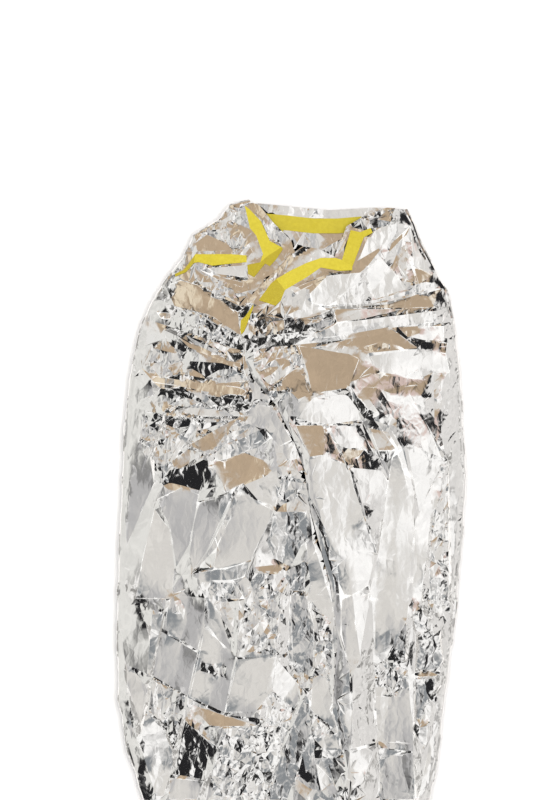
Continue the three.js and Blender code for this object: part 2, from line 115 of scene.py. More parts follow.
# Main folds: height of the ridge (a trough where it is negative), spread, and line.
FOLDS = [
    (8, 34, [(-169, 385), (-72, 320)]),
    (7, 30, [(-193, 350), (-72, 296)]),
    (-7, 26, [(-207, 320), (-76, 276)]),
    (10, 34, [(-188, 306), (-102, 266), (-69, 239)]),
    (9, 32, [(-226, 244), (-193, 221), (-72, 203)]),
    (-8, 26, [(-175, 196), (-76, 186)]),
    (8, 36, [(-77, 182), (-118, 131), (-98, 69)]),
    (6, 30, [(-185, 183), (-190, 81)]),
    (-6, 34, [(-82, 72), (-149, -50)]),
    (8, 36, [(-12, 90), (-26, 46), (-61, -30), (-123, -40)]),
    (7, 34, [(-184, -88), (-197, -161), (-207, -220), (-219, -322)]),
    (-6, 30, [(-152, -90), (-166, -170), (-180, -250), (-194, -340)]),
    (7, 32, [(-127, -88), (-137, -158), (-152, -220), (-175, -373)]),
    (-6, 28, [(-104, -90), (-110, -170), (-126, -250), (-148, -360)]),
    (7, 32, [(-79, -88), (-82, -169), (-96, -242), (-127, -380)]),
    (6, 30, [(-19, -88), (-25, -161), (-44, -234), (-61, -322)]),
    (-9, 40, [(-10, 58), (-3, -88), (1, -205), (-3, -264), (-44, -380)]),
    (9, 38, [(160, 470), (130, 426), (77, 364)]),
    (-5, 26, [(160, 440), (146, 404), (117, 362)]),
    (6, 32, [(176, 440), (180, 400), (186, 376)]),
    (-8, 30, [(216, 366), (187, 358), (136, 347), (70, 341), (0, 323)]),
    (9, 34, [(223, 338), (158, 322), (55, 308), (-54, 296)]),
    (9, 36, [(36, 204), (77, 110), (111, 14), (121, -20)]),
    (-9, 34, [(85, 204), (115, 142), (140, 87), (124, -10)]),
    (9, 36, [(111, 204), (161, 136), (175, 65)]),
    (7, 34, [(177, 192), (225, 116), (215, 77), (190, -62)]),
    (8, 34, [(174, -116), (175, -379)]),
    (-8, 34, [(121, -60), (118, -177), (124, -293), (127, -379)]),
    (8, 34, [(63, -125), (86, -204), (86, -274), (76, -358)]),
]

# Smaller creases, placed in the same columns.
CREASES = [
    (-3.0, 13, [(-149, 294), (-96, 268)]),
    (2.5, 12, [(-185, 330), (-100, 292)]),
    (3.0, 14, [(-229, 192), (-178, 180), (-79, 174)]),
    (-2.5, 12, [(-51, 141), (-72, 81)]),
    (2.5, 14, [(-149, -50), (-124, -83), (-93, -150)]),
    (1.2, 9, [(-204, -129), (-140, -158), (-82, -169), (-25, -164)]),
    (-1.2, 9, [(-253, -188), (-207, -199), (-153, -230), (-102, -256), (-47, -227)]),
    (-1.0, 8, [(-210, -300), (-150, -312), (-90, -330)]),
    (3.0, 14, [(223, 364), (158, 345), (55, 330), (-30, 318)]),
    (-3.0, 12, [(230, 318), (150, 302), (60, 290), (-40, 280)]),
    (2.5, 12, [(139, 312), (184, 278)]),
    (-3.5, 14, [(4, 282), (29, 211)]),
    (3.0, 14, [(41, 277), (70, 239), (88, 204)]),
    (2.5, 12, [(-41, 218), (29, 214), (76, 221)]),
    (3.0, 14, [(140, 87), (128, 20), (121, -20)]),
    (2.5, 12, [(98, -357), (124, -303)]),
    (0.8, 8, [(60, -303), (120, -303), (185, -309)]),
    (0.9, 8, [(70, -178), (117, -182), (165, -199), (225, -196)]),
    (0.7, 6, [(50, -80), (140, -88), (235, -84)]),
    (-0.7, 6, [(40, 22), (120, 14), (240, 24)]),
    (0.7, 6, [(-250, 60), (-150, 52), (-60, 60)]),
    (-2.0, 10, [(202, 330), (206, 200), (205, 60), (196, -120), (180, -330)]),
    (2.0, 10, [(150, 190), (152, 60), (148, -120), (138, -380)]),
    (1.8, 10, [(-110, 60), (-108, -20), (-104, -80)]),
]

# How the facets of each kind lie: the slope they rise with towards -X and towards -Y, how
# firmly they keep it against the film round them, the share of the finer relief that stays on
# them, and how strongly they are crinkled.
Kind = namedtuple("Kind", "across up firm keep crinkle")
KINDS = {
    "pale": Kind(0.0, 0.0, 4, 0.16, 0.07),
    "light": Kind(0.08, -0.02, 5, 0.16, 0.10),
    "grey": Kind(-0.13, 0.02, 6, 0.20, 0.12),
    "white": Kind(0.16, -0.05, 7, 0.18, 0.12),
    "frost": Kind(0.16, -0.02, 3, 0.40, 0.40),
    "tan": Kind(0.0, 0.20, 9, 0.14, 0.12),
    "gold": Kind(-0.14, 0.24, 8, 0.30, 0.40),
    "pink": Kind(0.16, 0.09, 8, 0.20, 0.16),
    "steel": Kind(-0.02, -0.13, 12, 0.25, 0.25),
    "crushed": Kind(0.0, 0.0, 6, 0.35, 0.35),
    "dark": Kind(-0.22, -0.22, 16, 0.25, 0.25),
    "umbra": Kind(0.30, 0.16, 16, 0.25, 0.25),
}
LEAN_FADE = 10.0        # width of the band along the side bends where facets give way
LEAN_HOLD = 4           # how firmly the film keeps its height in that band
LEAN_REACH = 45.0       # length over which the film round a facet makes up for its lean

# Corners of the facets of each kind, given in pixels of the photograph, from its top left.
PIXEL = 1.46            # millimetres of the plan for each pixel
PIXEL_ZERO = (292.5, 539.5)        # the pixel over the plan's origin
FACETS = {
    "pale": [
        [(238, 224), (247, 228), (262, 255), (256, 259)], [(127, 373), (150, 378), (153, 395), (128, 395)],
        [(141, 319), (163, 316), (165, 337), (143, 346)],
        [(413, 218), (441, 274), (432, 274), (413, 265), (410, 227)],
        [(332, 309), (402, 309), (361, 319), (336, 322)],
        [(369, 356), (417, 349), (445, 353), (449, 372), (435, 373), (421, 368), (405, 376), (379, 372)],
        [(391, 457), (402, 449), (413, 492), (413, 528), (407, 600), (367, 600), (377, 553), (387, 483)],
        [(430, 515), (420, 600), (411, 600), (414, 521), (425, 497), (442, 466), (441, 492)],
        [(336, 563), (346, 550), (374, 554), (367, 585), (339, 600)],
        [(305, 540), (311, 538), (333, 600), (311, 600)],
        [(448, 465), (466, 461), (465, 502), (458, 600), (452, 600)],
        [(127, 410), (141, 411), (142, 424), (138, 441), (148, 447), (153, 483), (126, 545), (123, 496),
         (125, 442)], [(209, 461), (225, 460), (225, 488), (213, 466)],
        [(157, 499), (181, 487), (198, 494), (189, 543), (176, 566), (170, 528)],
        [(199, 502), (222, 496), (233, 490), (216, 528), (207, 549), (193, 569), (189, 553), (194, 521)],
        [(242, 490), (257, 501), (273, 510), (250, 559), (225, 568), (213, 568), (217, 544), (230, 517)],
        [(119, 630), (145, 622), (149, 641), (147, 673), (125, 664)],
        [(171, 594), (204, 597), (204, 624), (197, 649), (163, 628)],
        [(207, 598), (219, 611), (231, 650), (223, 646), (208, 625)],
        [(161, 631), (197, 652), (187, 695), (152, 675)],
        [(204, 627), (235, 654), (224, 711), (189, 696), (199, 653)],
        [(237, 658), (276, 655), (271, 690), (255, 710), (225, 711)],
        [(276, 658), (298, 684), (297, 700), (291, 711), (272, 688)],
        [(119, 678), (126, 686), (133, 731), (146, 764), (143, 796), (126, 724)],
        [(308, 594), (331, 594), (333, 607), (327, 617), (313, 603)],
        [(312, 676), (324, 676), (333, 704), (334, 728), (310, 708)],
        [(332, 593), (340, 593), (339, 633), (348, 670), (349, 702), (331, 702), (333, 670)],
        [(371, 598), (408, 598), (406, 617), (384, 660), (372, 664), (373, 641)],
        [(453, 596), (458, 596), (440, 780), (434, 799), (418, 799), (428, 748), (451, 654)],
    ],
    "light": [
        [(218, 222), (229, 215), (225, 225), (215, 231)], [(379, 256), (407, 288), (375, 299), (364, 273)],
        [(419, 326), (443, 326), (443, 340), (424, 340), (410, 337)],
        [(379, 389), (424, 407), (411, 419), (397, 418)],
        [(308, 459), (323, 454), (345, 466), (358, 501), (373, 551), (339, 559), (309, 497)],
        [(407, 451), (442, 462), (425, 495), (423, 513), (418, 510), (414, 489)],
        [(154, 509), (169, 529), (174, 567), (171, 598), (135, 598), (142, 559)],
        [(352, 593), (370, 593), (360, 644), (360, 656), (356, 656)],
        [(329, 708), (347, 686), (351, 711), (348, 749), (343, 748)],
        [(349, 750), (375, 744), (360, 783), (346, 777)], [(169, 778), (203, 781), (196, 799), (168, 799)],
        [(313, 737), (335, 735), (338, 747), (322, 747)],
    ],
    "grey": [
        [(341, 594), (351, 594), (359, 656), (350, 676), (341, 633)],
        [(375, 696), (410, 697), (412, 743), (377, 741)], [(378, 759), (412, 752), (414, 799), (384, 799)],
        [(243, 353), (253, 363), (270, 399), (254, 399), (243, 370)], [(199, 732), (216, 745), (212, 764)],
        [(253, 404), (272, 407), (291, 440), (278, 446), (262, 425), (247, 412)],
    ],
    "white": [
        [(367, 237), (380, 247), (358, 260)],
        [(402, 211), (410, 219), (380, 251), (370, 237), (376, 228), (394, 224)],
        [(326, 276), (366, 272), (361, 278), (338, 299), (328, 306), (311, 303), (309, 294)],
        [(287, 315), (297, 310), (329, 310), (319, 315), (294, 319)],
        [(319, 332), (338, 323), (432, 311), (432, 322), (367, 331), (329, 337), (298, 337)],
        [(207, 268), (245, 265), (243, 277), (218, 274)], [(209, 341), (229, 348), (224, 353), (216, 348)],
        [(185, 387), (206, 395), (216, 406), (209, 406)], [(177, 411), (197, 405), (240, 416), (203, 416)],
        [(295, 419), (302, 408), (313, 397), (347, 396), (364, 419), (328, 424), (304, 420)],
        [(328, 425), (355, 426), (362, 447), (346, 448), (336, 443)],
        [(373, 420), (387, 425), (401, 448), (412, 489), (409, 495), (396, 450)],
        [(350, 467), (380, 470), (387, 482), (383, 502), (375, 551), (367, 528), (357, 479)],
        [(309, 513), (318, 528), (333, 579), (335, 600), (330, 600), (312, 540)],
        [(193, 420), (199, 423), (177, 454), (167, 471), (161, 482), (171, 457)],
        [(216, 450), (248, 428), (232, 431)], [(244, 484), (266, 475), (281, 478), (275, 506), (257, 499)],
        [(192, 573), (248, 562), (244, 576), (232, 579), (199, 579)],
        [(152, 614), (163, 613), (149, 675), (146, 675)], [(239, 650), (279, 654), (277, 657), (238, 656)],
        [(145, 713), (159, 720), (171, 751), (172, 763), (163, 796), (155, 796), (139, 743)],
        [(126, 671), (136, 674), (147, 690), (140, 723), (126, 684)], [(188, 745), (197, 751), (191, 769)],
        [(271, 735), (278, 741), (267, 744)], [(315, 762), (332, 780), (320, 790)],
        [(410, 623), (415, 636), (414, 670), (412, 725), (409, 700), (407, 660)],
        [(440, 635), (452, 652), (443, 659)], [(378, 749), (406, 750), (379, 758)],
    ],
    "frost": [
        [(402, 239), (416, 282), (407, 280), (398, 266)], [(352, 702), (372, 691), (375, 742), (350, 747)],
        [(423, 707), (434, 698), (434, 719), (427, 730)], [(209, 379), (241, 373), (244, 381), (218, 383)],
        [(199, 581), (235, 582), (244, 598), (205, 598)],
        [(206, 591), (226, 598), (233, 610), (233, 640), (229, 630)],
        [(339, 296), (361, 279), (374, 300), (340, 306)],
    ],
    "tan": [
        [(194, 243), (206, 234), (226, 243), (232, 250), (197, 251)],
        [(200, 270), (226, 279), (243, 282), (242, 287), (218, 280)],
        [(165, 286), (180, 280), (197, 285), (210, 297), (227, 307), (237, 312), (240, 335), (229, 328),
         (209, 315), (174, 306)], [(156, 312), (171, 313), (169, 319), (160, 318)],
        [(178, 337), (194, 346), (218, 359), (240, 363), (240, 368), (209, 356), (188, 347)],
        [(140, 367), (152, 376), (188, 381), (238, 387), (246, 391), (241, 395), (209, 392), (174, 385),
         (153, 382)], [(409, 226), (402, 238), (388, 252), (391, 243)],
        [(359, 261), (379, 250), (367, 266), (356, 266)], [(413, 266), (432, 275), (418, 284)],
        [(290, 290), (325, 275), (325, 278), (294, 293)],
        [(354, 307), (388, 304), (417, 294), (431, 302), (434, 307), (388, 308)],
        [(348, 334), (388, 327), (416, 348), (367, 353), (355, 346)],
        [(397, 327), (417, 326), (419, 333), (407, 337)],
        [(298, 346), (348, 354), (358, 359), (354, 370), (348, 386), (342, 388), (311, 393), (307, 373)],
        [(286, 375), (297, 367), (307, 386), (309, 394), (297, 399)],
        [(295, 425), (321, 425), (325, 433), (322, 454), (309, 456), (300, 438)],
        [(340, 451), (363, 449), (358, 456), (344, 460)],
        [(369, 428), (387, 432), (396, 447), (391, 450), (377, 450)],
        [(188, 445), (230, 421), (237, 418), (216, 446), (204, 451)],
        [(171, 461), (187, 449), (202, 452), (192, 460), (176, 471)],
        [(223, 462), (243, 452), (263, 460), (264, 473), (244, 482), (226, 491)],
        [(254, 566), (285, 563), (280, 570), (258, 570)],
        [(192, 704), (223, 714), (256, 724), (220, 725), (209, 724), (193, 708)],
        [(296, 778), (308, 787), (305, 798), (297, 791)], [(411, 674), (424, 669), (438, 675), (419, 677)],
    ],
    "gold": [
        [(357, 211), (394, 209), (391, 215), (367, 218)], [(163, 407), (188, 396), (197, 403), (177, 409)],
        [(356, 349), (380, 342), (400, 347), (370, 352)],
    ],
    "pink": [
        [(210, 297), (222, 301), (234, 313), (226, 312)],
        [(371, 373), (405, 378), (426, 380), (426, 384), (388, 388), (380, 384)],
        [(350, 387), (378, 387), (396, 419), (367, 409), (355, 395)],
        [(323, 426), (328, 432), (344, 463), (339, 461), (327, 456), (323, 438)],
        [(355, 426), (359, 426), (373, 454), (367, 453)],
        [(378, 401), (410, 402), (425, 423), (441, 458), (405, 442), (404, 429), (391, 415)],
        [(413, 402), (425, 407), (438, 424), (445, 457), (429, 429)],
        [(411, 341), (447, 343), (446, 346), (426, 348)],
    ],
    "steel": [
        [(320, 306), (373, 300), (417, 288), (433, 282), (434, 285), (414, 293), (373, 303), (323, 308)],
        [(217, 450), (262, 428), (270, 438), (257, 447), (245, 451), (226, 459), (214, 460)],
        [(239, 488), (241, 489), (230, 516), (216, 547), (193, 571), (209, 548), (225, 515)],
        [(276, 511), (304, 511), (307, 540), (300, 545), (290, 566), (274, 558), (266, 541)],
        [(289, 594), (305, 595), (313, 625), (312, 664), (308, 675), (288, 662)],
        [(300, 704), (308, 690), (311, 760), (298, 764), (286, 799), (269, 799), (281, 751)],
        [(286, 570), (304, 560), (304, 590), (291, 590)], [(412, 728), (426, 726), (426, 744), (422, 746)],
    ],
    "crushed": [
        [(231, 209), (237, 211), (232, 225), (229, 219)],
        [(262, 217), (276, 225), (284, 238), (280, 244), (270, 237)],
        [(209, 230), (226, 228), (240, 245), (232, 248)],
        [(193, 272), (218, 284), (240, 293), (239, 302), (209, 290), (194, 279)],
        [(181, 308), (203, 316), (227, 331), (239, 340), (239, 345), (218, 338), (194, 322)],
        [(153, 348), (177, 354), (184, 363), (177, 374), (160, 378), (150, 366)],
        [(288, 355), (298, 357), (304, 372), (295, 371)],
        [(141, 412), (163, 415), (158, 429), (146, 460), (139, 441)],
        [(162, 430), (187, 430), (171, 456), (162, 480), (154, 473), (154, 451)],
        [(439, 465), (447, 467), (448, 600), (424, 600), (421, 591), (430, 546), (431, 519), (442, 496)],
        [(250, 572), (290, 574), (285, 598), (278, 648), (262, 648), (259, 630), (241, 643), (244, 598)],
        [(173, 594), (180, 599), (187, 614), (176, 613)], [(200, 661), (226, 665), (226, 677), (200, 670)],
        [(256, 710), (271, 690), (294, 708), (289, 717), (266, 722)],
        [(152, 679), (185, 695), (183, 711), (173, 749), (163, 724), (147, 708)],
        [(221, 727), (278, 725), (279, 751), (265, 799), (210, 799), (219, 751)],
        [(313, 622), (332, 619), (331, 665), (329, 680), (314, 669)], [(311, 712), (334, 732), (312, 736)],
        [(373, 663), (396, 662), (407, 677), (392, 685), (383, 686)],
        [(422, 595), (446, 592), (451, 614), (438, 617), (432, 599)],
        [(276, 478), (290, 470), (296, 497), (280, 505)],
    ],
    "dark": [
        [(231, 205), (244, 200), (237, 209)], [(376, 219), (392, 222), (380, 227), (372, 228)],
        [(351, 222), (366, 227), (363, 230), (352, 227)],
        [(185, 335), (200, 340), (217, 350), (212, 352), (194, 344)],
        [(163, 335), (184, 346), (183, 352), (171, 346)],
        [(190, 361), (221, 363), (236, 368), (218, 370), (206, 377), (192, 369)],
        [(172, 388), (185, 389), (204, 403), (197, 401), (175, 394)],
        [(207, 396), (246, 399), (252, 403), (218, 406)], [(309, 325), (329, 319), (332, 320), (317, 330)],
        [(349, 470), (353, 478), (368, 527), (364, 521), (354, 489)],
        [(289, 424), (303, 455), (304, 470), (299, 458), (292, 438)], [(432, 520), (446, 508), (443, 512)],
        [(432, 559), (443, 560), (448, 571), (444, 570)],
        [(165, 416), (191, 420), (188, 426), (174, 428), (165, 424)],
        [(199, 423), (225, 421), (212, 426), (200, 430)],
        [(163, 481), (169, 470), (192, 465), (207, 457), (208, 466), (199, 490), (181, 485)],
        [(258, 430), (265, 428), (270, 434), (264, 437)], [(235, 633), (238, 616), (236, 651)],
        [(224, 714), (255, 716), (262, 719), (259, 722)], [(124, 678), (135, 728), (131, 728)],
        [(185, 720), (191, 725), (210, 743), (203, 779), (172, 774), (181, 735)],
        [(311, 608), (323, 615), (313, 611)], [(316, 634), (331, 638), (317, 640)],
        [(313, 749), (321, 748), (321, 757), (314, 757)], [(297, 774), (302, 754), (307, 782)],
        [(405, 621), (404, 659), (386, 660)],
        [(412, 616), (419, 611), (427, 617), (426, 629), (421, 633), (415, 629)],
        [(417, 637), (438, 635), (442, 660), (435, 671), (415, 668), (419, 650)],
        [(415, 679), (434, 678), (434, 689), (424, 703), (423, 714), (416, 720)],
    ],
}


def facet_outline(corners):
    """A facet's outline in the plan, from its corners in the photograph."""
    return [((x - PIXEL_ZERO[0]) * PIXEL, (PIXEL_ZERO[1] - y) * PIXEL) for x, y in corners]


PLAIN = [(kind, facet_outline(corners)) for kind, table in FACETS.items() for corners in table]


def patch_of(outline):
    """The soft ellipse that fills an outline's box."""
    low, high = np.min(outline, 0), np.max(outline, 0)
    return (*(low + high) / 2, *(high - low) / 2, 1.0)


# Finely crumpled places and calm ones: centre, half sizes, strength.
CRUMPLED = [
    (-140, 165, 70, 60, 1.0),
    (-45, 245, 38, 60, 0.9),
    (-110, 430, 52, 40, 0.8),
    (172, 350, 62, 40, 0.5),
    (228, 0, 22, 120, 1.0),
    (136, -190, 24, 90, 1.0),
    (206, -150, 40, 85, 0.8),
    (-8, -190, 62, 150, 0.9),
    (-165, -250, 72, 110, 0.5),
    (60, 120, 26, 80, 0.5),
    (210, 230, 36, 46, 0.4),
]
CRUMPLED += [patch_of(outline) for kind, outline in PLAIN if kind == "crushed"]
CALM = [
    (-112, -10, 88, 66, 1.0),
    (165, 245, 70, 34, 0.8),
    (182, -20, 42, 120, 0.9),
    (90, -60, 40, 120, 0.7),
    (-190, 10, 50, 70, 0.6),
    (95, -290, 30, 80, 0.6),
    (-235, 60, 30, 150, 1.0),
    (-240, -190, 26, 130, 1.0),
    (240, -120, 20, 200, 0.8),
]

# Stretches of the mouth tape that show: each an outline in the plan and the share of painted
# shade its colour gets, darker where its fold faces away from the light.
TAPES = {
    "mouth_tape_left": ("left", [
        ([(-71, 488), (-63, 455), (-54, 444), (-44, 417), (-48, 405), (-36, 415), (-17, 427), (-34, 436),
          (-47, 465), (-64, 483)], 0.0),
        ([(-48, 405), (-36, 415), (-17, 427), (-15, 424), (-25, 409), (-34, 399), (-41, 403), (-57, 383),
          (-66, 388), (-67, 401)], 0.55),
    ]),
    "mouth_tape_shoulder": ("left", [
        ([(-68, 415), (-68, 405), (-90, 403), (-118, 400), (-138, 405), (-145, 404), (-143, 417),
          (-118, 417), (-90, 417)], 0.0),
        ([(-143, 417), (-145, 404), (-156, 391), (-172, 384), (-173, 388), (-160, 394), (-152, 404)], 0.45),
    ]),
    "mouth_tape_right": ("right", [
        ([(84, 452), (98, 449), (113, 455), (116, 448), (103, 441), (86, 398), (71, 408)], 0.12),
        ([(71, 408), (86, 398), (86, 393), (67, 392), (40, 397), (40, 411), (62, 411)], 0.0),
        ([(40, 411), (40, 397), (20, 383), (-12, 364), (-25, 380), (-3, 393), (20, 404)], 0.0),
        ([(-25, 380), (-12, 364), (-18, 349), (-26, 341), (-50, 349), (-44, 358), (-33, 373)], 0.5),
        ([(-58, 343), (-70, 325), (-76, 320), (-77, 307), (-75, 299), (-71, 304), (-66, 317),
          (-58, 339)], 0.4),
    ]),
    "mouth_tape_back": ("back", [
        ([(-40, 477), (-5, 474), (30, 470), (65, 470), (100, 473), (100, 451), (65, 448), (30, 448),
          (-5, 452), (-40, 455)], 0.2),
    ]),
}
TAPE_LIFT = 0.5         # how far a tape lies off the film
TAPE_THICK = 0.3

FLANK = 1.6             # width of a fold's flank for each millimetre of its spread
FINE = 3.7  # spacing of the film's points where it shows
COARSE = 3.2                       # how much further apart they lie where it doesn't
CREASE_SAMPLES = 9                 # places along a crease that are tested against the outline
EDGE = 4.0                         # spacing of points along a side bend
EDGE_CLEAR = 1.2                   # least distance of a crease from the panel's outline
BOTTOM = 9.0                       # spacing of columns at the crosswise fold
BEND_CELLS = 6
TURN_CELLS = 10
LOWER_ROWS = 80
LOWER_EDGE = (20, 12)              # the lower half's sides without creases, and the run next to them
LOWER_CREASES = (0.35, 0.7)        # shares of the upright and the middle facets in its creases
LOWER_START = 0.7                  # run over which they come in from the fold, in settling runs
# Of the lower half's outer flap, its inner one and its back: the lift of the creases, and the
# least and the most that they rise.
LOWER_RISE = {"outer": (0.6, 0.0, 2.2), "flap": (0.9, 0.0, 2.8), "back": (0.0, -1.0, 1.0)}
FLAP_COVERED = (-45, -12)          # run past the outer flap's free edge where the inner one sinks
HEADING = 0.04                     # share of a side's length over which its direction is taken
RAGGED = [(26, 1.6), (9, 0.8)]     # stretches of the crumpled side bends, and how far they wander
BACK_SHOWS_FROM = 415              # where the back layer is seen past the collar
LEFT_SHOWS_UNDER = 14              # how far the left side gets fine points under the right one
FAINT = {"band": 0.1, "side": 0.2, "small": 0.2}       # shares below which a field has no edges
ALONG_CREASE = 0.4                 # spacing of the places taken along a crease, in fine steps
ROW_STEP = 0.87                    # spacing of the rows of points, in steps
SCATTER = 0.15                     # how far a point strays from its row, in steps
KEEP_CLEAR = 0.5                   # least distance of points from what is taken, in fine steps
SOLVE_STEPS = 220                  # steps in settling the facets' heights


def ease(value, low, high):
    share = np.clip((np.asarray(value, float) - low) / (high - low), 0, 1)
    return share * share * (3 - 2 * share)


def along(points, share):
    """Points at shares of a polyline's length."""
    pts = np.array(points, float)
    cum = np.concatenate([[0], np.cumsum(np.hypot(*np.diff(pts, axis=0).T))])
    at = np.asarray(share, float) * cum[-1]
    return np.stack([np.interp(at, cum, pts[:, 0]), np.interp(at, cum, pts[:, 1])], -1)


def length_of(points):
    return float(np.hypot(*np.diff(np.array(points, float), axis=0).T).sum())


def across_at(points, y):
    pts = np.array(points, float)
    return np.interp(-np.asarray(y, float), -pts[:, 1], pts[:, 0])


def side_x(side, y):
    return across_at(OUTLINE[side], y)


def line_distance(xy, line):
    best = np.full(len(xy), 1e9)
    for a, b in zip(np.array(line[:-1], float), np.array(line[1:], float)):
        d = b - a
        t = np.clip(((xy - a) @ d) / (d @ d), 0, 1)
        best = np.minimum(best, np.hypot(*(xy - a - t[:, None] * d).T))
    return best


def tents(xy, table):
    """Sharp ridges whose flanks run out softly."""
    total = np.zeros(len(xy))
    for height, spread, line in table:
        width = spread * FLANK
        pts = np.array(line, float)
        near = ((xy > pts.min(0) - width) & (xy < pts.max(0) + width)).all(1)
        if near.any():
            away = line_distance(xy[near], line) / width
            total[near] += height * np.maximum(0, 1 - away) ** 2
    return total


def swell(x, y):
    """Share of the puff: full in the middle, nothing at the side bends."""
    low, high = side_x("left", y), side_x("right", y)
    across = np.minimum(np.abs((2 * x - low - high) / (high - low)), 1)
    start, end, loss = PUFF_MOUTH
    return ((1 - across**PUFF_POWER) * ease(y, FOLD_Y, FOLD_Y + PUFF_START * SETTLE)
            * (1 - loss * ease(y, start, end)))


def back_height(x, y):
    return AXIS_Z + TURN["back"] + BACK_PUFF * swell(x, y)


def edge_distance(x, y):
    return np.minimum(x - side_x("left", y), side_x("right", y) - x)


def off_sides(x, y):
    """Share of the folds' height: nothing along the side bends and the crosswise fold."""
    away = np.clip((edge_distance(x, y) - BEND_REACH) / FOLD_FADE, 0, 1)
    return away * ease(y, FOLD_Y, FOLD_Y + SOFT_START * SETTLE)


def crown(x, y):
    edge = np.maximum(edge_distance(x, y) - BEND_REACH, 0)
    rise = 1 - (1 - np.minimum(edge / SHOULDER, 1)) ** 2
    start, end, loss = CROWN_MOUTH
    toward_mouth = np.clip((np.asarray(y, float) - start) / (end - start), 0, 1)
    foot_start, foot_end, foot_loss = CROWN_FOOT
    toward_foot = ease(-y, -foot_start, -foot_end)
    return CROWN * rise * (1 - loss * toward_mouth) * (1 - foot_loss * toward_foot)


ELLIPSE_RIM = (0.7, 1.3)           # where a soft ellipse starts to fade and ends, in its half sizes


def patch_mask(x, y, table):
    """The strongest of a table's soft ellipses at each point."""
    best = np.zeros(np.shape(x))
    for cx, cy, rx, ry, strength in table:
        reach = np.hypot((x - cx) / rx, (y - cy) / ry)
        best = np.maximum(best, strength * (1 - ease(reach, *ELLIPSE_RIM)))
    return best


RAY_START = 500.0       # height from which rays look down at a field
JITTER = 0.42           # how far a field's points stray from their grid, in steps


class FacetField:
    """A surface of flat facets between scattered points, longer along one direction."""

    def __init__(self, seed, step, stretch, angle, height, low=(-290, -530), high=(290, 530)):
        rng = np.random.default_rng(seed)
        turn = math.radians(angle)
        self.turn = np.array([[math.cos(turn), math.sin(turn)], [-math.sin(turn), math.cos(turn)]])
        corners = np.array([(low[0], low[1]), (low[0], high[1]), (high[0], low[1]), high], float)
        turned = corners @ self.turn.T / (stretch, 1)
        lo, hi = turned.min(0) - step, turned.max(0) + step
        grid = np.stack(np.meshgrid(np.arange(lo[0], hi[0], step), np.arange(lo[1], hi[1], step)), -1)
        grid[::2, :, 0] += step / 2
        flat = grid.reshape(-1, 2) + rng.uniform(-JITTER, JITTER, (grid.size // 2, 2)) * step
        real = (flat * (stretch, 1)) @ self.turn
        keep = ((real > np.array(low) - 2 * step) & (real < np.array(high) + 2 * step)).all(1)
        self.points = real[keep]
        self.heights = rng.uniform(-1, 1, len(self.points)) * height
        verts = [Vector(p) for p in flat[keep]]
        _, _, tris, *_ = delaunay_2d_cdt(verts, [], [], 0, 1e-6)
        self.tris = [tuple(t) for t in tris]
        self.tree = BVHTree.FromPolygons(
            [(p[0], p[1], h) for p, h in zip(self.points, self.heights)], self.tris,
        )

    def hits(self, xy):
        """Where a ray from above meets the surface over each point."""
        down = Vector((0, 0, -1))
        return [self.tree.ray_cast(Vector((x, y, RAY_START)), down) for x, y in xy]

    def at(self, xy):
        """The surface's height over each point."""
        return np.array([0.0 if place is None else place.z for place, _, _, _ in self.hits(xy)])

    def facet_at(self, xy):
        """The number of the facet over each point."""
        return [number or 0 for _, _, number, _ in self.hits(xy)]

    def edges(self):
        seen = set()
        for a, b, c in self.tris:
            for p, q in ((a, b), (b, c), (c, a)):
                seen.add((min(p, q), max(p, q)))
        return [(self.points[p], self.points[q]) for p, q in sorted(seen)]


# Fields of facets: seed, step, how much longer they are one way, its direction, height.
UPRIGHT = FacetField(11, 40, 2.4, 90, 2.0)
RADIAL_LEFT = FacetField(12, 26, 2.6, -22, 2.2)
RADIAL_RIGHT = FacetField(13, 28, 2.8, 12, 2.2)
MIDDLE = FacetField(14, 16, 1.5, 62, 1.4)
SMALL = FacetField(15, 7.5, 2.0, 55, 1.7)

# How crushed film lies: the share of its small facets that lean as each kind does.
CRUSHED_SHARES = {
    "dark": 0.28, "umbra": 0.22, "steel": 0.10, "grey": 0.15, "white": 0.14, "light": 0.03, "pale": 0.08,
}


def crushed_leans(field, seed):
    """A lean for every facet of a field."""
    rng = np.random.default_rng(seed)
    drawn = rng.choice(len(CRUSHED_SHARES), len(field.tris), p=list(CRUSHED_SHARES.values()))
    return np.array([(KINDS[kind].across, KINDS[kind].up) for kind in CRUSHED_SHARES])[drawn]


CRUSHED_LEANS = crushed_leans(SMALL, 17)

# Small crumpled spots scattered over the calm film.
SPOT_COUNT = 150


def scattered_spots(seed):
    """Rows of centre, half sizes and strength."""
    rng = np.random.default_rng(seed)
    rows = []
    for _ in range(SPOT_COUNT):
        x, y = rng.uniform(-250, 245), rng.uniform(-480, 480)
        rows.append((x, y, rng.uniform(4, 13), rng.uniform(4, 16), rng.uniform(0.35, 0.8)))
    return rows


SPOTS = scattered_spots(21)

# Long soft waves, one way and the other: height, length, how far they meander and over what
# length, and the length and start of their own swelling.
WAVES = [(1.3, 21, 1.7, 57, 83, 1.3), (1.1, 27, 1.9, 49, 71, 0.4)]


UPPER_FROM = (130, 220)            # run over which the lower stretch turns into the upper band
SIDES_MEET = (-30, 30)             # run over which the left side's folds turn into the right one's
CALM_LOSS = {"upright": 0.6, "middle": 0.85, "small": 0.5}     # share of a field that calm film lacks
MIDDLE_SHARE = (0.2, 1.1)          # of the middle field: on plain film, and more in crumples
SPOT_SHARE = 0.5                   # of the small field, in the scattered spots
BACK_NECK = (400, 440)             # run over which the back layer turns into the neck
BACK_CREASES = (0.5, 1.1)          # shares of the middle field: on the back layer, and more at the neck


def upper_share(xy):
    """1 in the collar and the upper band, 0 in the lower stretch."""
    return ease(xy[:, 1], *UPPER_FROM)


def right_share(xy):
    """1 on the right side, 0 on the left one."""
    return ease(xy[:, 0] - across_at(OVERLAP, xy[:, 1]), *SIDES_MEET)


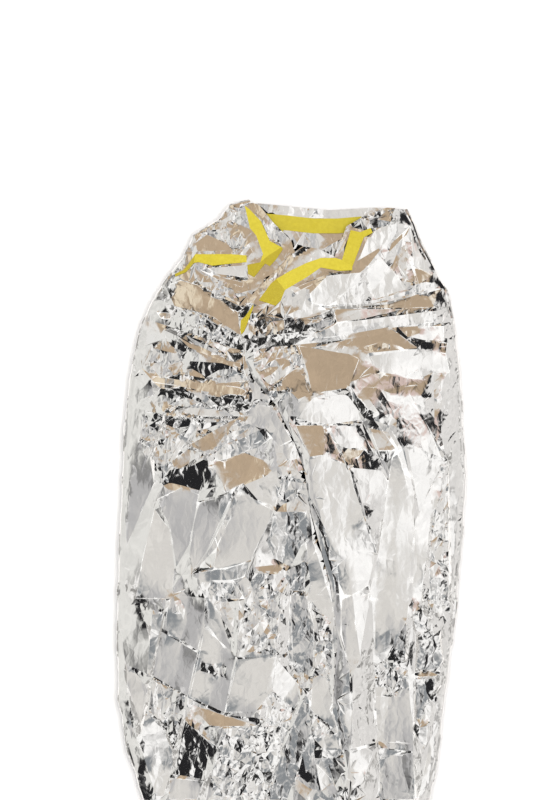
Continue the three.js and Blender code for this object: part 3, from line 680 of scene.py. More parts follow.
def relief(xy):
    """Height of all creases over the swollen front."""
    x, y = xy[:, 0], xy[:, 1]
    up, right = upper_share(xy), right_share(xy)
    crumpled, calm = patch_mask(x, y, CRUMPLED), patch_mask(x, y, CALM)
    fine = np.maximum(crumpled, SPOT_SHARE * patch_mask(x, y, SPOTS))
    left = {field: 1 - loss * calm for field, loss in CALM_LOSS.items()}
    total = tents(xy, FOLDS) + tents(xy, CREASES)
    total += (1 - up) * UPRIGHT.at(xy) * left["upright"]
    total += up * ((1 - right) * RADIAL_LEFT.at(xy) + right * RADIAL_RIGHT.at(xy))
    total += MIDDLE.at(xy) * (MIDDLE_SHARE[0] + MIDDLE_SHARE[1] * crumpled) * left["middle"]
    total += SMALL.at(xy) * fine * left["small"]
    for (height, length, meander, over, beat, start), (p, q) in zip(WAVES, ((x, y), (y, x))):
        total += height * np.sin(p / length + meander * np.sin(q / over)) * np.sin(q / beat + start)
    return total


def front_height(xy):
    x, y = xy[:, 0], xy[:, 1]
    return back_height(x, y) + LIFT + crown(x, y) + relief(xy) * off_sides(x, y)


def gradients(xy, tris):
    """Area of each triangle, and the slope that each of its corners' heights brings."""
    corners = xy[tris]
    edges = np.roll(corners, -2, axis=1) - np.roll(corners, -1, axis=1)
    double = np.abs(edges[:, 0, 0] * edges[:, 1, 1] - edges[:, 0, 1] * edges[:, 1, 0])
    turned = np.stack([-edges[:, :, 1], edges[:, :, 0]], -1)
    outward = corners - np.roll(corners, -1, axis=1)
    sign = np.sign((turned * outward).sum(-1))
    return double / 2, turned * (sign / np.maximum(double, 1e-9)[:, None])[:, :, None]


def lean_facets(xy, tris, front):
    """The front with every plain facet leaning its own way and the film round it making up for it."""
    x, y = xy[:, 0], xy[:, 1]
    area, basis = gradients(xy, tris)
    slope = (basis * front[tris][:, :, None]).sum(1)
    smooth = (basis * (back_height(x, y) + crown(x, y))[tris][:, :, None]).sum(1)
    hold = np.ones(len(tris))
    middle = xy[tris].mean(1)
    for kind, outline in PLAIN:
        own = KINDS[kind]
        loop = np.array(outline, float)
        near = np.flatnonzero(((middle > loop.min(0)) & (middle < loop.max(0))).all(1))
        near = near[inside(middle[near], loop)]
        lean = np.array((own.across, own.up))
        if kind == "crushed":
            lean = CRUSHED_LEANS[SMALL.facet_at(middle[near])]
        slope[near] = (slope[near] - smooth[near]) * own.keep - lean
        hold[near] = own.firm
    fade = np.clip((edge_distance(x, y) - BEND_REACH) / LEAN_FADE, 0, 1)
    share = np.bincount(tris.ravel(), np.repeat(area / 3, 3), len(xy))
    anchor = share * (1 / LEAN_REACH**2 + LEAN_HOLD * (1 - fade) ** 2)
    weight = (area * hold)[:, None]

    def stiff(height):
        each = ((basis * height[tris][:, :, None]).sum(1) * weight)[:, None, :] * basis
        return np.bincount(tris.ravel(), each.sum(-1).ravel(), len(xy)) + anchor * height

    wanted = np.bincount(tris.ravel(), ((slope * weight)[:, None, :] * basis).sum(-1).ravel(), len(xy))
    wanted += anchor * front
    diagonal = np.bincount(tris.ravel(), ((basis**2).sum(-1) * weight).ravel(), len(xy)) + anchor
    height = front.copy()
    rest = wanted - stiff(height)
    step = rest / diagonal
    push = rest @ step
    for _ in range(SOLVE_STEPS):
        pulled = stiff(step)
        gain = push / (step @ pulled)
        height += gain * step
        rest -= gain * pulled
        ready = rest / diagonal
        push, before = rest @ ready, push
        step = ready + push / before * step
    return height


def tucked_height(x, y):
    return back_height(x, y) + TUCKED[0] + TUCKED[1] * crown(x, y)


def left_height(xy, front):
    x, y = xy[:, 0], xy[:, 1]
    under = ease(x - across_at(OVERLAP, y), *TUCK_RUN)
    open_height = np.maximum(front, back_height(x, y) + FILM_GAP)
    free = open_height + (tucked_height(x, y) - open_height) * under
    base = AXIS_Z + TURN["left"]
    return base + (free - base) * ease(y, FOLD_Y, FOLD_Y + SETTLE)


def right_height(xy, front):
    x, y = xy[:, 0], xy[:, 1]
    over_left = x < across_at(FREE["left"], y) + TUCK_REACH
    floor = np.where(over_left, tucked_height(x, y), back_height(x, y)) + FILM_GAP
    inward = x - across_at(OVERLAP, y)
    roll = ROLL[0] + ROLL[1] * ease(inward, 0, ROLL_RUN[0]) * (1 - ease(inward, *ROLL_RUN[1:]))
    free = np.maximum(front + roll, floor)
    base = AXIS_Z + TURN["right"]
    return base + (free - base) * ease(y, FOLD_Y, FOLD_Y + SETTLE)


def back_layer_height(xy, front):
    x, y = xy[:, 0], xy[:, 1]
    strength = BACK_CREASES[0] + BACK_CREASES[1] * ease(y, *BACK_NECK)
    return back_height(x, y) + MIDDLE.at(xy) * off_sides(x, y) * strength


def bend_radius(side, y):
    start = (TURN[side] - TURN["back"]) / 2
    return start + (LIFT / 2 - start) * ease(y, FOLD_Y, FOLD_Y + SETTLE)


def bend_rows(side):
    """The outline's points, outward directions and bend radii, from the apex down."""
    count = int(length_of(OUTLINE[side]) / EDGE)
    share = np.linspace(0, 1, count)
    at = along(OUTLINE[side], share)
    before = along(OUTLINE[side], np.clip(share - HEADING, 0, 1))
    after = along(OUTLINE[side], np.clip(share + HEADING, 0, 1))
    run = after - before
    sign = 1 if side == "left" else -1
    out = np.stack([sign * run[:, 1], -sign * run[:, 0]], -1)
    out /= np.hypot(*out.T)[:, None]
    out[-1] = (-sign, 0)
    radius = bend_radius(side, at[:, 1])
    return at, out, radius


BENDS = {side: bend_rows(side) for side in ("left", "right")}


def bend_line(side):
    at, out, radius = BENDS[side]
    return at - out * radius[:, None]


def spaced(points, step):
    count = max(2, int(round(length_of(points) / step)) + 1)
    return along(points, np.linspace(0, 1, count))


def bottom_points(start, end):
    count = max(2, int(round(abs(end[0] - start[0]) / BOTTOM)) + 1)
    return np.stack([np.linspace(start[0], end[0], count), np.full(count, FOLD_Y)], -1)


def panel_loop(panel):
    """The panel's outline in the plan, as pieces that share their end points."""
    if panel == "back":
        left, right = bend_line("left"), bend_line("right")
        mouth = spaced([left[0], *MOUTH["back"], right[0]], FINE)
        bottom = bottom_points(left[-1], right[-1])
        return [mouth, right, bottom[::-1], left[::-1]]
    line = bend_line(panel)
    mouth = spaced([line[0], *MOUTH[panel]], FINE)
    free = spaced(FREE[panel], FINE)
    bottom = bottom_points(line[-1], FREE[panel][-1])
    return [mouth, free, bottom[::-1], line[::-1]]


def inside(points, loop):
    """Which points lie inside a closed loop."""
    x, y = points[:, 0], points[:, 1]
    result = np.zeros(len(points), bool)
    for (x0, y0), (x1, y1) in zip(loop, np.roll(loop, -1, axis=0)):
        if y0 == y1:
            continue
        cross = ((y0 > y) != (y1 > y)) & (x < (x1 - x0) * (y - y0) / (y1 - y0) + x0)
        result ^= cross
    return result


class Spots:
    """Places already taken, found again by cell; the first ones put in are the outline's."""

    def __init__(self, cell):
        self.cell = cell
        self.grid = {}
        self.count = 0

    def put(self, point):
        x, y = float(point[0]), float(point[1])
        self.grid.setdefault((int(x // self.cell), int(y // self.cell)), []).append((x, y, self.count))
        self.count += 1

    def near(self, point, gap, first=None):
        """Whether a place lies within the gap, of the first ones alone if a number is given."""
        x, y = float(point[0]), float(point[1])
        i, j = int(x // self.cell), int(y // self.cell)
        for di in (-1, 0, 1):
            for dj in (-1, 0, 1):
                for qx, qy, number in self.grid.get((i + di, j + dj), ()):
                    if (first is None or number < first) and (qx - x) ** 2 + (qy - y) ** 2 < gap * gap:
                        return True
        return False


def fold_segments():
    return [(np.array(a, float), np.array(b, float))
            for _, _, line in FOLDS + CREASES for a, b in zip(line[:-1], line[1:])]


def field_segments(panel):
    """Edges of the facet fields where each of them counts."""
    result = []
    plans = [MIDDLE] if panel == "back" else [UPRIGHT, RADIAL_LEFT, RADIAL_RIGHT, MIDDLE, SMALL]
    for field in plans:
        edges = field.edges()
        middle = np.array([(a + b) / 2 for a, b in edges])
        keep = np.ones(len(edges), bool)
        if field is UPRIGHT:
            keep = upper_share(middle) < 1 - FAINT["band"]
        if field in (RADIAL_LEFT, RADIAL_RIGHT):
            share = right_share(middle)
            share = share if field is RADIAL_RIGHT else 1 - share
            keep = (upper_share(middle) > FAINT["band"]) & (share > FAINT["side"])
        if field is SMALL:
            keep = patch_mask(middle[:, 0], middle[:, 1], CRUMPLED + SPOTS) > FAINT["small"]
        result += [edge for edge, use in zip(edges, keep) if use]
    return result


def shows(panel, x, y):
    """Where a panel is seen from above, so that it gets the finest points."""
    if panel == "back":
        return y > BACK_SHOWS_FROM
    if panel == "left":
        return x < across_at(OVERLAP, y) + LEFT_SHOWS_UNDER
    return True


MESH_SEED = 31


def panel_mesh(panel, height):
    """Points, triangles and heights of one panel, with mesh edges along every crease."""
    parts = panel_loop(panel)
    loop = np.concatenate([part[:-1] for part in parts])
    count = len(loop)
    points = [tuple(p) for p in loop]
    edges = [(i, (i + 1) % count) for i in range(count)]
    low, high = loop.min(0), loop.max(0)

    creases = field_segments(panel)
    if panel != "back":
        creases += fold_segments()
        for _, outline in PLAIN:
            corners = np.array(outline, float)
            creases += list(zip(corners, np.roll(corners, -1, axis=0)))
    for where, stretches in TAPES.values():
        if where == panel:
            for outline, _ in stretches:
                corners = np.array(outline, float)
                creases += list(zip(corners, np.roll(corners, -1, axis=0)))
    nearby = [(a, b) for a, b in creases
              if (np.maximum(a, b) > low).all() and (np.minimum(a, b) < high).all()]
    taken = Spots(FINE * 2)
    for p in loop:
        taken.put(p)
    steps = np.linspace(0, 1, CREASE_SAMPLES)
    samples = np.array([a + (b - a) * t for a, b in nearby for t in steps])
    within = inside(samples, loop).reshape(-1, len(steps)).all(1)
    index = {}
    for (a, b), use, probe in zip(nearby, within, samples.reshape(-1, len(steps), 2)):
        if not use or not shows(panel, *probe[CREASE_SAMPLES // 2]):
            continue
        if any(taken.near(q, EDGE_CLEAR, count) for q in probe[::2]):
            continue
        ends = []
        for p in (a, b):
            key = (round(float(p[0]), 4), round(float(p[1]), 4))
            if key not in index:
                index[key] = len(points)
                points.append(key)
            ends.append(index[key])
        edges.append(tuple(ends))
        run = int(np.hypot(*(b - a)) / (FINE * ALONG_CREASE)) + 1
        for k in range(run + 1):
            taken.put(a + (b - a) * k / run)

    rng = np.random.default_rng(MESH_SEED)
    for step, fine in ((FINE, True), (FINE * COARSE, False)):
        xs = np.arange(low[0], high[0], step)
        ys = np.arange(low[1], high[1], step * ROW_STEP)
        grid = np.stack(np.meshgrid(xs, ys), -1)
        grid[::2, :, 0] += step / 2
        grid = grid.reshape(-1, 2) + rng.uniform(-SCATTER, SCATTER, (grid.size // 2, 2)) * step
        for p in grid[inside(grid, loop)]:
            if bool(shows(panel, p[0], p[1])) == fine and not taken.near(p, FINE * KEEP_CLEAR):
                points.append(tuple(p))

    verts, _, tris, *_ = delaunay_2d_cdt([Vector(p) for p in points], edges, [], 0, 1e-6)
    xy = np.array([tuple(v) for v in verts])
    tris = np.array([tuple(t) for t in tris])
    tris = tris[inside(xy[tris].mean(1), loop)]
    a, b, c = xy[tris[:, 0]], xy[tris[:, 1]], xy[tris[:, 2]]
    area = (b[:, 0] - a[:, 0]) * (c[:, 1] - a[:, 1]) - (c[:, 0] - a[:, 0]) * (b[:, 1] - a[:, 1])
    tris[area < 0] = tris[area < 0][:, ::-1]
    front = lean_facets(xy, tris, front_height(xy)) if panel != "back" else None
    z = height(xy, front)
    return np.column_stack([xy, z]), tris


def pin_edges(points, panel):
    """Set the heights on the bend lines and at the bottom to those of the strips they join."""
    sides = ("left", "right") if panel == "back" else (panel,)
    for side in sides:
        line = bend_line(side)
        radius = BENDS[side][2]
        level = back_height(line[:, 0], line[:, 1])
        if panel != "back":
            level = level + 2 * radius
        lookup = {(round(x, 2), round(y, 2)): z for (x, y), z in zip(line, level)}
        for row in points:
            z = lookup.get((round(row[0], 2), round(row[1], 2)))
            if z is not None:
                row[2] = z
    at_bottom = np.abs(points[:, 1] - FOLD_Y) < 0.01
    points[at_bottom, 2] = AXIS_Z + TURN[panel]


class Builder:
    """Collects sub-meshes in millimetres and welds them into one."""

    def __init__(self):
        self.points = []
        self.faces = []
        self.count = 0

    def add(self, points, faces):
        self.points.append(np.asarray(points, float))
        self.faces += [tuple(int(i) + self.count for i in face) for face in faces]
        self.count += len(points)

    def grid(self, rows):
        height, width = rows.shape[:2]
        faces = []
        for j in range(height - 1):
            for i in range(width - 1):
                a = j * width + i
                faces.append((a, a + 1, a + width + 1, a + width))
        self.add(rows.reshape(-1, 3), faces)

    def mesh(self, name):
        pts = (np.concatenate(self.points) + SHIFT) * MM
        keys = np.round(pts, 6)
        _, first, back = np.unique(keys, axis=0, return_index=True, return_inverse=True)
        back = back.reshape(-1)
        faces = [tuple(back[list(face)]) for face in self.faces]
        faces = [face for face in faces if len(set(face)) == len(face)]
        data = bpy.data.meshes.new(name)
        data.from_pydata([tuple(p) for p in pts[first]], [], faces)
        data.validate()
        data.update()
        return data


def jagged(rng, count, step, amount):
    """A wandering line of straight stretches, for a crumpled edge."""
    knots = max(3, int(count * EDGE / step))
    return np.interp(np.linspace(0, knots - 1, count), np.arange(knots), rng.uniform(-1, 1, knots)) * amount


def bend_strip(builder, side, seed):
    at, out, radius = BENDS[side]
    line = bend_line(side)
    level = back_height(line[:, 0], line[:, 1])
    rng = np.random.default_rng(seed)
    count = len(at)
    rag = sum(jagged(rng, count, step, amount) for step, amount in RAGGED)
    rag *= ease(at[:, 1], FOLD_Y, FOLD_Y + SETTLE)
    rows = []
    for k in range(BEND_CELLS + 1):
        turn = math.pi * k / BEND_CELLS
        reach = (radius + rag) * math.sin(turn)
        z = level + radius * (1 + math.cos(turn))
        rows.append(np.column_stack([line + out * reach[:, None], z]))
    grid = np.stack(rows, 1)
    if side == "left":
        grid = grid[:, ::-1]
    builder.grid(grid[:, ::-1])


def section_columns():
    """Columns of the lower half, from the left flap's free edge to the right flap's."""
    left, right = bend_line("left")[-1], bend_line("right")[-1]
    columns = []
    for side, order in (("left", 1), ("right", -1)):
        line = left if side == "left" else right
        xs = bottom_points(line, FREE[side][-1])[:, 0]
        share = (xs - line[0]) / (FREE[side][-1][0] - line[0])
        flap = [("flap", side, a) for a in share[::-1]]
        bend = [("bend", side, math.pi * k / BEND_CELLS) for k in range(1, BEND_CELLS)]
        columns.append(flap + bend)
    across = bottom_points(left, right)[:, 0]
    back = [("back", None, a) for a in (across - left[0]) / (right[0] - left[0])]
    return columns[0] + back + columns[1][::-1]


def lower_section(columns, y):
    settled = float(ease(y, FOLD_Y, FOLD_Y + SETTLE))
    inset = LOWER_INSET * settled
    swollen = LOWER_PUFF * float(swell(np.array(0.0), np.array(y))) * settled
    depth = {
        "back": TURN["back"],
        "left": TURN["left"] + (TURN["right"] - TURN["left"]) * settled,
        "right": TURN["right"],
    }
    share_up = (y - FOLD_Y) / (FOOT_Y - FOLD_Y)

    def edge(side):
        sign = 1 if side == "left" else -1
        radius = (depth[side] - depth["back"]) / 2
        return float(side_x(side, y)) + sign * (inset + radius), radius, sign

    def free(side):
        start = FREE[side][-1][0]
        return start + (FOOT_FREE[side] - start) * share_up

    xs, depths = [], []
    for kind, side, value in columns:
        if kind == "bend":
            x, radius, sign = edge(side)
            xs.append(x - sign * radius * math.sin(value))
            depths.append(depth["back"] + radius * (1 + math.cos(value)))
        elif kind == "back":
            low, high = edge("left")[0], edge("right")[0]
            xs.append(low + (high - low) * value)
            depths.append(depth["back"] - swollen * (1 - (2 * value - 1) ** 2))
        else:
            x = edge(side)[0] + (free(side) - edge(side)[0]) * value
            xs.append(x)
            level = depth["right"]
            if side == "left":
                covered = float(ease(x - free("right"), *FLAP_COVERED))
                level = depth["left"] + (TURN["left"] - depth["left"]) * covered
            depths.append(level)
    return np.array(xs), np.array(depths)


def lower_half(builder):
    columns = section_columns()
    xs, depths = lower_section(columns, FOLD_Y)
    rows = []
    for k in range(TURN_CELLS):
        angle = math.pi * k / TURN_CELLS
        rows.append(np.column_stack(
            [xs, FOLD_Y - depths * math.sin(angle), AXIS_Z + depths * math.cos(angle)],
        ))
    kinds = np.array(["outer" if (kind, side) == ("flap", "right") else kind for kind, side, _ in columns])
    for y in np.linspace(FOLD_Y, FOOT_Y, LOWER_ROWS):
        xs, depths = lower_section(columns, y)
        xy = np.column_stack([xs, np.full(len(xs), y)])
        settled = float(ease(y, FOLD_Y, FOLD_Y + LOWER_START * SETTLE))
        fade = np.clip((edge_distance(xs, xy[:, 1]) - LOWER_EDGE[0]) / LOWER_EDGE[1], 0, 1) * settled
        crease = UPRIGHT.at(xy) * LOWER_CREASES[0] + MIDDLE.at(xy) * LOWER_CREASES[1]
        rise = np.zeros(len(xs))
        for kind, (lift, least, most) in LOWER_RISE.items():
            rise = np.where(kinds == kind, np.clip(crease + lift, least, most), rise)
        rows.append(np.column_stack([xy, AXIS_Z - depths + rise * fade]))
    builder.grid(np.stack(rows)[:, ::-1])


HEIGHTS = {"left": left_height, "right": right_height, "back": back_layer_height}
PANELS = {}
film_builder = Builder()
for panel, height in HEIGHTS.items():
    points, tris = panel_mesh(panel, height)
    pin_edges(points, panel)
    if panel == "back":
        tris = tris[:, ::-1]
    PANELS[panel] = (points, tris)
    film_builder.add(points, tris)
bend_strip(film_builder, "left", 41)
bend_strip(film_builder, "right", 42)
lower_half(film_builder)


FILM_SHARP = 7.0        # turn in degrees from which an edge of the film shows as sharp
TAPE_SHARP = 30.0       # and of a tape


def new_object(name, data, sharp):
    obj = bpy.data.objects.new(name, data)
    bpy.context.scene.collection.objects.link(obj)
    for face in data.polygons:
        face.use_smooth = True
    data.set_sharp_from_angle(angle=math.radians(sharp))
    return obj


# How strongly the film is finely crinkled: plain, in crumpled places and in scattered spots, and
# the share of the first that calm film lacks.
CRINKLE = {"plain": 0.20, "crumpled": 0.40, "spots": 0.35}
CRINKLE_CALM_LOSS = 0.75
RIDGE = 0.06            # how near to an outline a point counts as lying on it


def crinkle_level(xy):
    """How strongly the film is finely crinkled, by the place in the plan."""
    x, y = xy[:, 0], xy[:, 1]
    level = CRINKLE["plain"] * (1 - CRINKLE_CALM_LOSS * patch_mask(x, y, CALM))
    level = np.maximum(level, CRINKLE["crumpled"] * patch_mask(x, y, CRUMPLED))
    level = np.maximum(level, CRINKLE["spots"] * patch_mask(x, y, SPOTS))
    for kind, outline in PLAIN:
        loop = np.array(outline)
        near = np.flatnonzero(((xy > loop.min(0)) & (xy < loop.max(0))).all(1))
        level[near[inside(xy[near], loop)]] = KINDS[kind].crinkle
    return level


# The ridge level places the film's painted highlight along the facets' outlines.
def ridge_level(xy):
    """1 on the outlines of the plain facets, 0 elsewhere."""
    level = np.zeros(len(xy))
    for kind, outline in PLAIN:
        loop = np.array(outline)
        near = np.flatnonzero(((xy > loop.min(0) - RIDGE) & (xy < loop.max(0) + RIDGE)).all(1))
        if kind not in ("crushed", "dark") and len(near):
            closed = np.concatenate([loop, loop[:1]])
            level[near[line_distance(xy[near], closed) < RIDGE]] = 1
    return level


def mark_crinkle(obj):
    """Keep the levels of crinkle on the faces and of ridge on the points, for the material."""
    data = obj.data
    centre = np.zeros(len(data.polygons) * 3)
    data.polygons.foreach_get("center", centre)
    plan = (centre.reshape(-1, 3) / MM - SHIFT)[:, :2]
    attribute = data.attributes.new("crinkle", "FLOAT", "FACE")
    attribute.data.foreach_set("value", crinkle_level(plan).astype(np.float32))
    corner = np.zeros(len(data.vertices) * 3)
    data.vertices.foreach_get("co", corner)
    plan = (corner.reshape(-1, 3) / MM - SHIFT)[:, :2]
    attribute = data.attributes.new("ridge", "FLOAT", "POINT")
    attribute.data.foreach_set("value", ridge_level(plan).astype(np.float32))


film = new_object("film", film_builder.mesh("film"), FILM_SHARP)
mark_crinkle(film)


def tape_piece(name, panel, stretches):
    """A tape: the film's own faces under it, lifted and given a thickness."""
    points, tris = PANELS[panel]
    centre = points[tris].mean(1)[:, :2]
    under = np.zeros(len(tris), bool)
    shade = np.zeros(len(tris))
    for outline, painted_dim in stretches:
        within = inside(centre, np.array(outline, float)) & ~under
        under |= within
        shade[within] = painted_dim
    used, shade = tris[under], shade[under]
    if panel == "back":
        used = used[:, ::-1]
    index, local = np.unique(used, return_inverse=True)
    faces = local.reshape(used.shape)
    base = points[index]
    normal = np.zeros_like(base)
    a, b, c = base[faces[:, 0]], base[faces[:, 1]], base[faces[:, 2]]
    face_normal = np.cross(b - a, c - a)
    for k in range(3):
        np.add.at(normal, faces[:, k], face_normal)
    normal /= np.linalg.norm(normal, axis=1)[:, None]
    low = base + normal * TAPE_LIFT
    high = base + normal * (TAPE_LIFT + TAPE_THICK)
    count = len(base)
    edges = {}
    for number, face in enumerate(faces):
        for p, q in zip(face, np.roll(face, -1)):
            edges[(int(p), int(q))] = number
    rim = [(p, q, number) for (p, q), number in edges.items() if (q, p) not in edges]
    builder = Builder()
    builder.add(np.concatenate([low, high]),
                [tuple(f[::-1]) for f in faces] + [tuple(f + count) for f in faces]
                + [(p + count, p, q, q + count) for p, q, _ in rim])
    tape = new_object(name, builder.mesh(name), TAPE_SHARP)
    # Each face keeps its stretch's share of painted shade, for the darker tape colour on folds.
    attribute = tape.data.attributes.new("painted_fold_shade", "FLOAT", "FACE")
    shades = np.concatenate([shade, shade, shade[[number for _, _, number in rim]]])
    attribute.data.foreach_set("value", shades[:len(tape.data.polygons)].astype(np.float32))
    return tape


tapes = [tape_piece("tape_" + name.split("_")[-1], *where) for name, where in TAPES.items()]


def nodes_of(name):
    material = bpy.data.materials.new(name)
    material.use_nodes = True
    tree = material.node_tree
    return material, tree.nodes, tree.links, tree.nodes["Principled BSDF"]


def add_node(nodes, kind, **values):
    """A new node with some input sockets set; a space in a socket's name is written as _."""
    node = nodes.new("ShaderNode" + kind)
    for name, value in values.items():
        node.inputs[name.replace("_", " ")].default_value = value
    return node


def attribute_of(nodes, name):
    node = nodes.new("ShaderNodeAttribute")
    node.attribute_name = name
    return node.outputs["Fac"]


def maths(nodes, links, kind, *values):
    """One step of arithmetic on numbers or sockets."""
    node = nodes.new("ShaderNodeMath")
    node.operation = kind
    for socket, value in zip(node.inputs, values):
        if isinstance(value, (int, float)):
            socket.default_value = value
        else:
            links.new(value, socket)
    return node.outputs[0]


FOIL = (0.90, 0.885, 0.865, 1)
FOIL_ROUGHNESS = 0.07
PAINTED_RIDGE_HIGHLIGHT = (0.88, 0.88, 0.87, 1)       # painted highlight: the white of sharp ridges, in place of their glints
RIDGE_HIGHLIGHT_FROM = (0.80, 0.96)           # ridge levels over which the white comes in
RIDGE_HIGHLIGHT_GAPS = (24, 0.50, 0.60)       # its gaps: how small they are, and the noise over which they close
WANDER = (45, 0.014)               # how fine the crinkles' wandering is, and how far, in metres
TAPE_TONES = [(0.52, 0.42, 0.026, 1), (0.70, 0.60, 0.055, 1)]
TAPE_PAINTED_SHADE = (0.30, 0.22, 0.008, 1)           # painted shade, where the tape lies folded and faces away from the light
TAPE_ROUGHNESS = 0.42
TAPE_GRAIN = (220, 4)              # its wrinkles' fineness and detail
TAPE_BUMP = (0.3, 0.0005)          # their strength, and height in metres

# The crinkles' lie: the turn of their streaks in degrees, and how finely they repeat each way.
STREAKS = (35, (1.25, 0.55, 1.0))

# Fine crinkles of the film: cells for each metre, and height in metres for one cell.
CRINKLES = [(30, 0.0076), (75, 0.0017)]


def film_material():
    material, nodes, links, shader = nodes_of("film")
    shader.inputs["Roughness"].default_value = FOIL_ROUGHNESS
    place = nodes.new("ShaderNodeTexCoord").outputs["Object"]
    level = attribute_of(nodes, "crinkle")

    # The crinkles wander, so the cells' places are pushed about by a coarser noise.
    wander = add_node(nodes, "TexNoise", Scale=WANDER[0])
    links.new(place, wander.inputs["Vector"])
    pushed = nodes.new("ShaderNodeVectorMath")
    pushed.operation = "MULTIPLY_ADD"
    links.new(wander.outputs["Color"], pushed.inputs[0])
    pushed.inputs[1].default_value = [WANDER[1]] * 3
    links.new(place, pushed.inputs[2])
    streaks = add_node(nodes, "Mapping", Rotation=(0, 0, math.radians(STREAKS[0])), Scale=STREAKS[1])
    links.new(pushed.outputs[0], streaks.inputs["Vector"])

    normal = None
    for scale, height in CRINKLES:
        cells = add_node(nodes, "TexVoronoi", Scale=scale)
        cells.feature = "DISTANCE_TO_EDGE"
        links.new(streaks.outputs[0], cells.inputs["Vector"])
        bump = add_node(nodes, "Bump", Strength=1.0, Distance=height)
        links.new(maths(nodes, links, "MULTIPLY", cells.outputs["Distance"], level), bump.inputs["Height"])
        if normal is not None:
            links.new(normal, bump.inputs["Normal"])
        normal = bump.outputs["Normal"]
    links.new(normal, shader.inputs["Normal"])

    # Painted highlight: sharp ridges are painted a matte white, here and there, in place of their glints.
    line = add_node(nodes, "MapRange", From_Min=RIDGE_HIGHLIGHT_FROM[0], From_Max=RIDGE_HIGHLIGHT_FROM[1])
    links.new(attribute_of(nodes, "ridge"), line.inputs["Value"])
    gaps = add_node(nodes, "TexNoise", Scale=RIDGE_HIGHLIGHT_GAPS[0])
    links.new(place, gaps.inputs["Vector"])
    shown = add_node(nodes, "MapRange", From_Min=RIDGE_HIGHLIGHT_GAPS[1], From_Max=RIDGE_HIGHLIGHT_GAPS[2])
    links.new(gaps.outputs["Fac"], shown.inputs["Value"])
    painted_highlight = maths(nodes, links, "MULTIPLY", line.outputs[0], shown.outputs[0])
    links.new(maths(nodes, links, "SUBTRACT", 1.0, painted_highlight), shader.inputs["Metallic"])
    tone = add_node(nodes, "MixRGB", Color1=FOIL, Color2=PAINTED_RIDGE_HIGHLIGHT)
    links.new(painted_highlight, tone.inputs["Fac"])
    links.new(tone.outputs["Color"], shader.inputs["Base Color"])
    return material


def tape_material():
    material, nodes, links, shader = nodes_of("tape")
    shader.inputs["Roughness"].default_value = TAPE_ROUGHNESS
    place = nodes.new("ShaderNodeTexCoord").outputs["Object"]
    noise = add_node(nodes, "TexNoise", Scale=TAPE_GRAIN[0], Detail=TAPE_GRAIN[1])
    links.new(place, noise.inputs["Vector"])
    tone = add_node(nodes, "MixRGB", Color1=TAPE_TONES[0], Color2=TAPE_TONES[1])
    links.new(noise.outputs["Fac"], tone.inputs["Fac"])
    # Painted shade: the tape's colour is darkened by each face's share where it lies folded.
    painted_fold_shade = add_node(nodes, "MixRGB", Color2=TAPE_PAINTED_SHADE)
    links.new(attribute_of(nodes, "painted_fold_shade"), painted_fold_shade.inputs["Fac"])
    links.new(tone.outputs["Color"], painted_fold_shade.inputs["Color1"])
    links.new(painted_fold_shade.outputs["Color"], shader.inputs["Base Color"])
    bump = add_node(nodes, "Bump", Strength=TAPE_BUMP[0], Distance=TAPE_BUMP[1])
    links.new(noise.outputs["Fac"], bump.inputs["Height"])
    links.new(bump.outputs["Normal"], shader.inputs["Normal"])
    return material


film.data.materials.append(film_material())
yellow = tape_material()
for tape in tapes:
    tape.data.materials.append(yellow)

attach(film, "root")
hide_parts("foil_bag")
for tape, node in zip(tapes, TAPES):
    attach(tape, "root")
    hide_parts(node)


# The floor, the world and the lights.
FLOOR_HALF = 6.0        # metres
FLOOR_TONE = (0.95, 0.945, 0.945, 1)


def floor_plane():
    data = bpy.data.meshes.new("floor")
    corners = [(x * FLOOR_HALF, y * FLOOR_HALF, 0) for x, y in ((-1, -1), (1, -1), (1, 1), (-1, 1))]
    data.from_pydata(corners, [], [(0, 1, 2, 3)])
    floor = bpy.data.objects.new("floor", data)
    bpy.context.scene.collection.objects.link(floor)
    material, nodes, links, shader = nodes_of("floor")
    shader.inputs["Base Color"].default_value = FLOOR_TONE
    shader.inputs["Roughness"].default_value = 0.9
    data.materials.append(material)


floor_plane()

# Cards of the studio, placed by the slope of a facet that mirrors them to a viewer above:
# centre x and y, half sizes, soft rim, colour.
CARDS = [
    (0.16, -0.04, 0.06, 0.12, 0.05, (1.03, 1.03, 1.03)),
    (-0.13, 0.02, 0.05, 0.13, 0.06, (0.50, 0.50, 0.51)),
    (-0.42, 0.00, 0.20, 0.28, 0.05, (0.80, 0.80, 0.78)),
    (0.45, 0.00, 0.20, 0.28, 0.05, (0.80, 0.79, 0.78)),
    (0.00, -0.25, 0.17, 0.07, 0.05, (1.06, 1.06, 1.06)),
    (0.00, 0.21, 0.20, 0.11, 0.04, (0.51, 0.395, 0.28)),
    (-0.14, 0.25, 0.04, 0.05, 0.03, (0.88, 0.77, 0.60)),
    (0.17, 0.27, 0.05, 0.04, 0.03, (0.92, 0.86, 0.76)),
    (0.16, 0.09, 0.04, 0.03, 0.03, (0.70, 0.55, 0.51)),
    (-0.02, -0.13, 0.07, 0.04, 0.03, (0.27, 0.29, 0.31)),
    (-0.22, -0.22, 0.10, 0.10, 0.02, (0.02, 0.02, 0.022)),
    (0.27, -0.24, 0.05, 0.05, 0.02, (0.02, 0.02, 0.022)),
    (0.30, 0.16, 0.08, 0.08, 0.02, (0.02, 0.02, 0.022)),
    (0.00, 0.43, 0.42, 0.05, 0.02, (0.02, 0.02, 0.02)),
    (0.00, -0.43, 0.42, 0.04, 0.02, (0.02, 0.02, 0.02)),
]
ROOM = (0.76, 0.745, 0.72)         # the tone between the cards

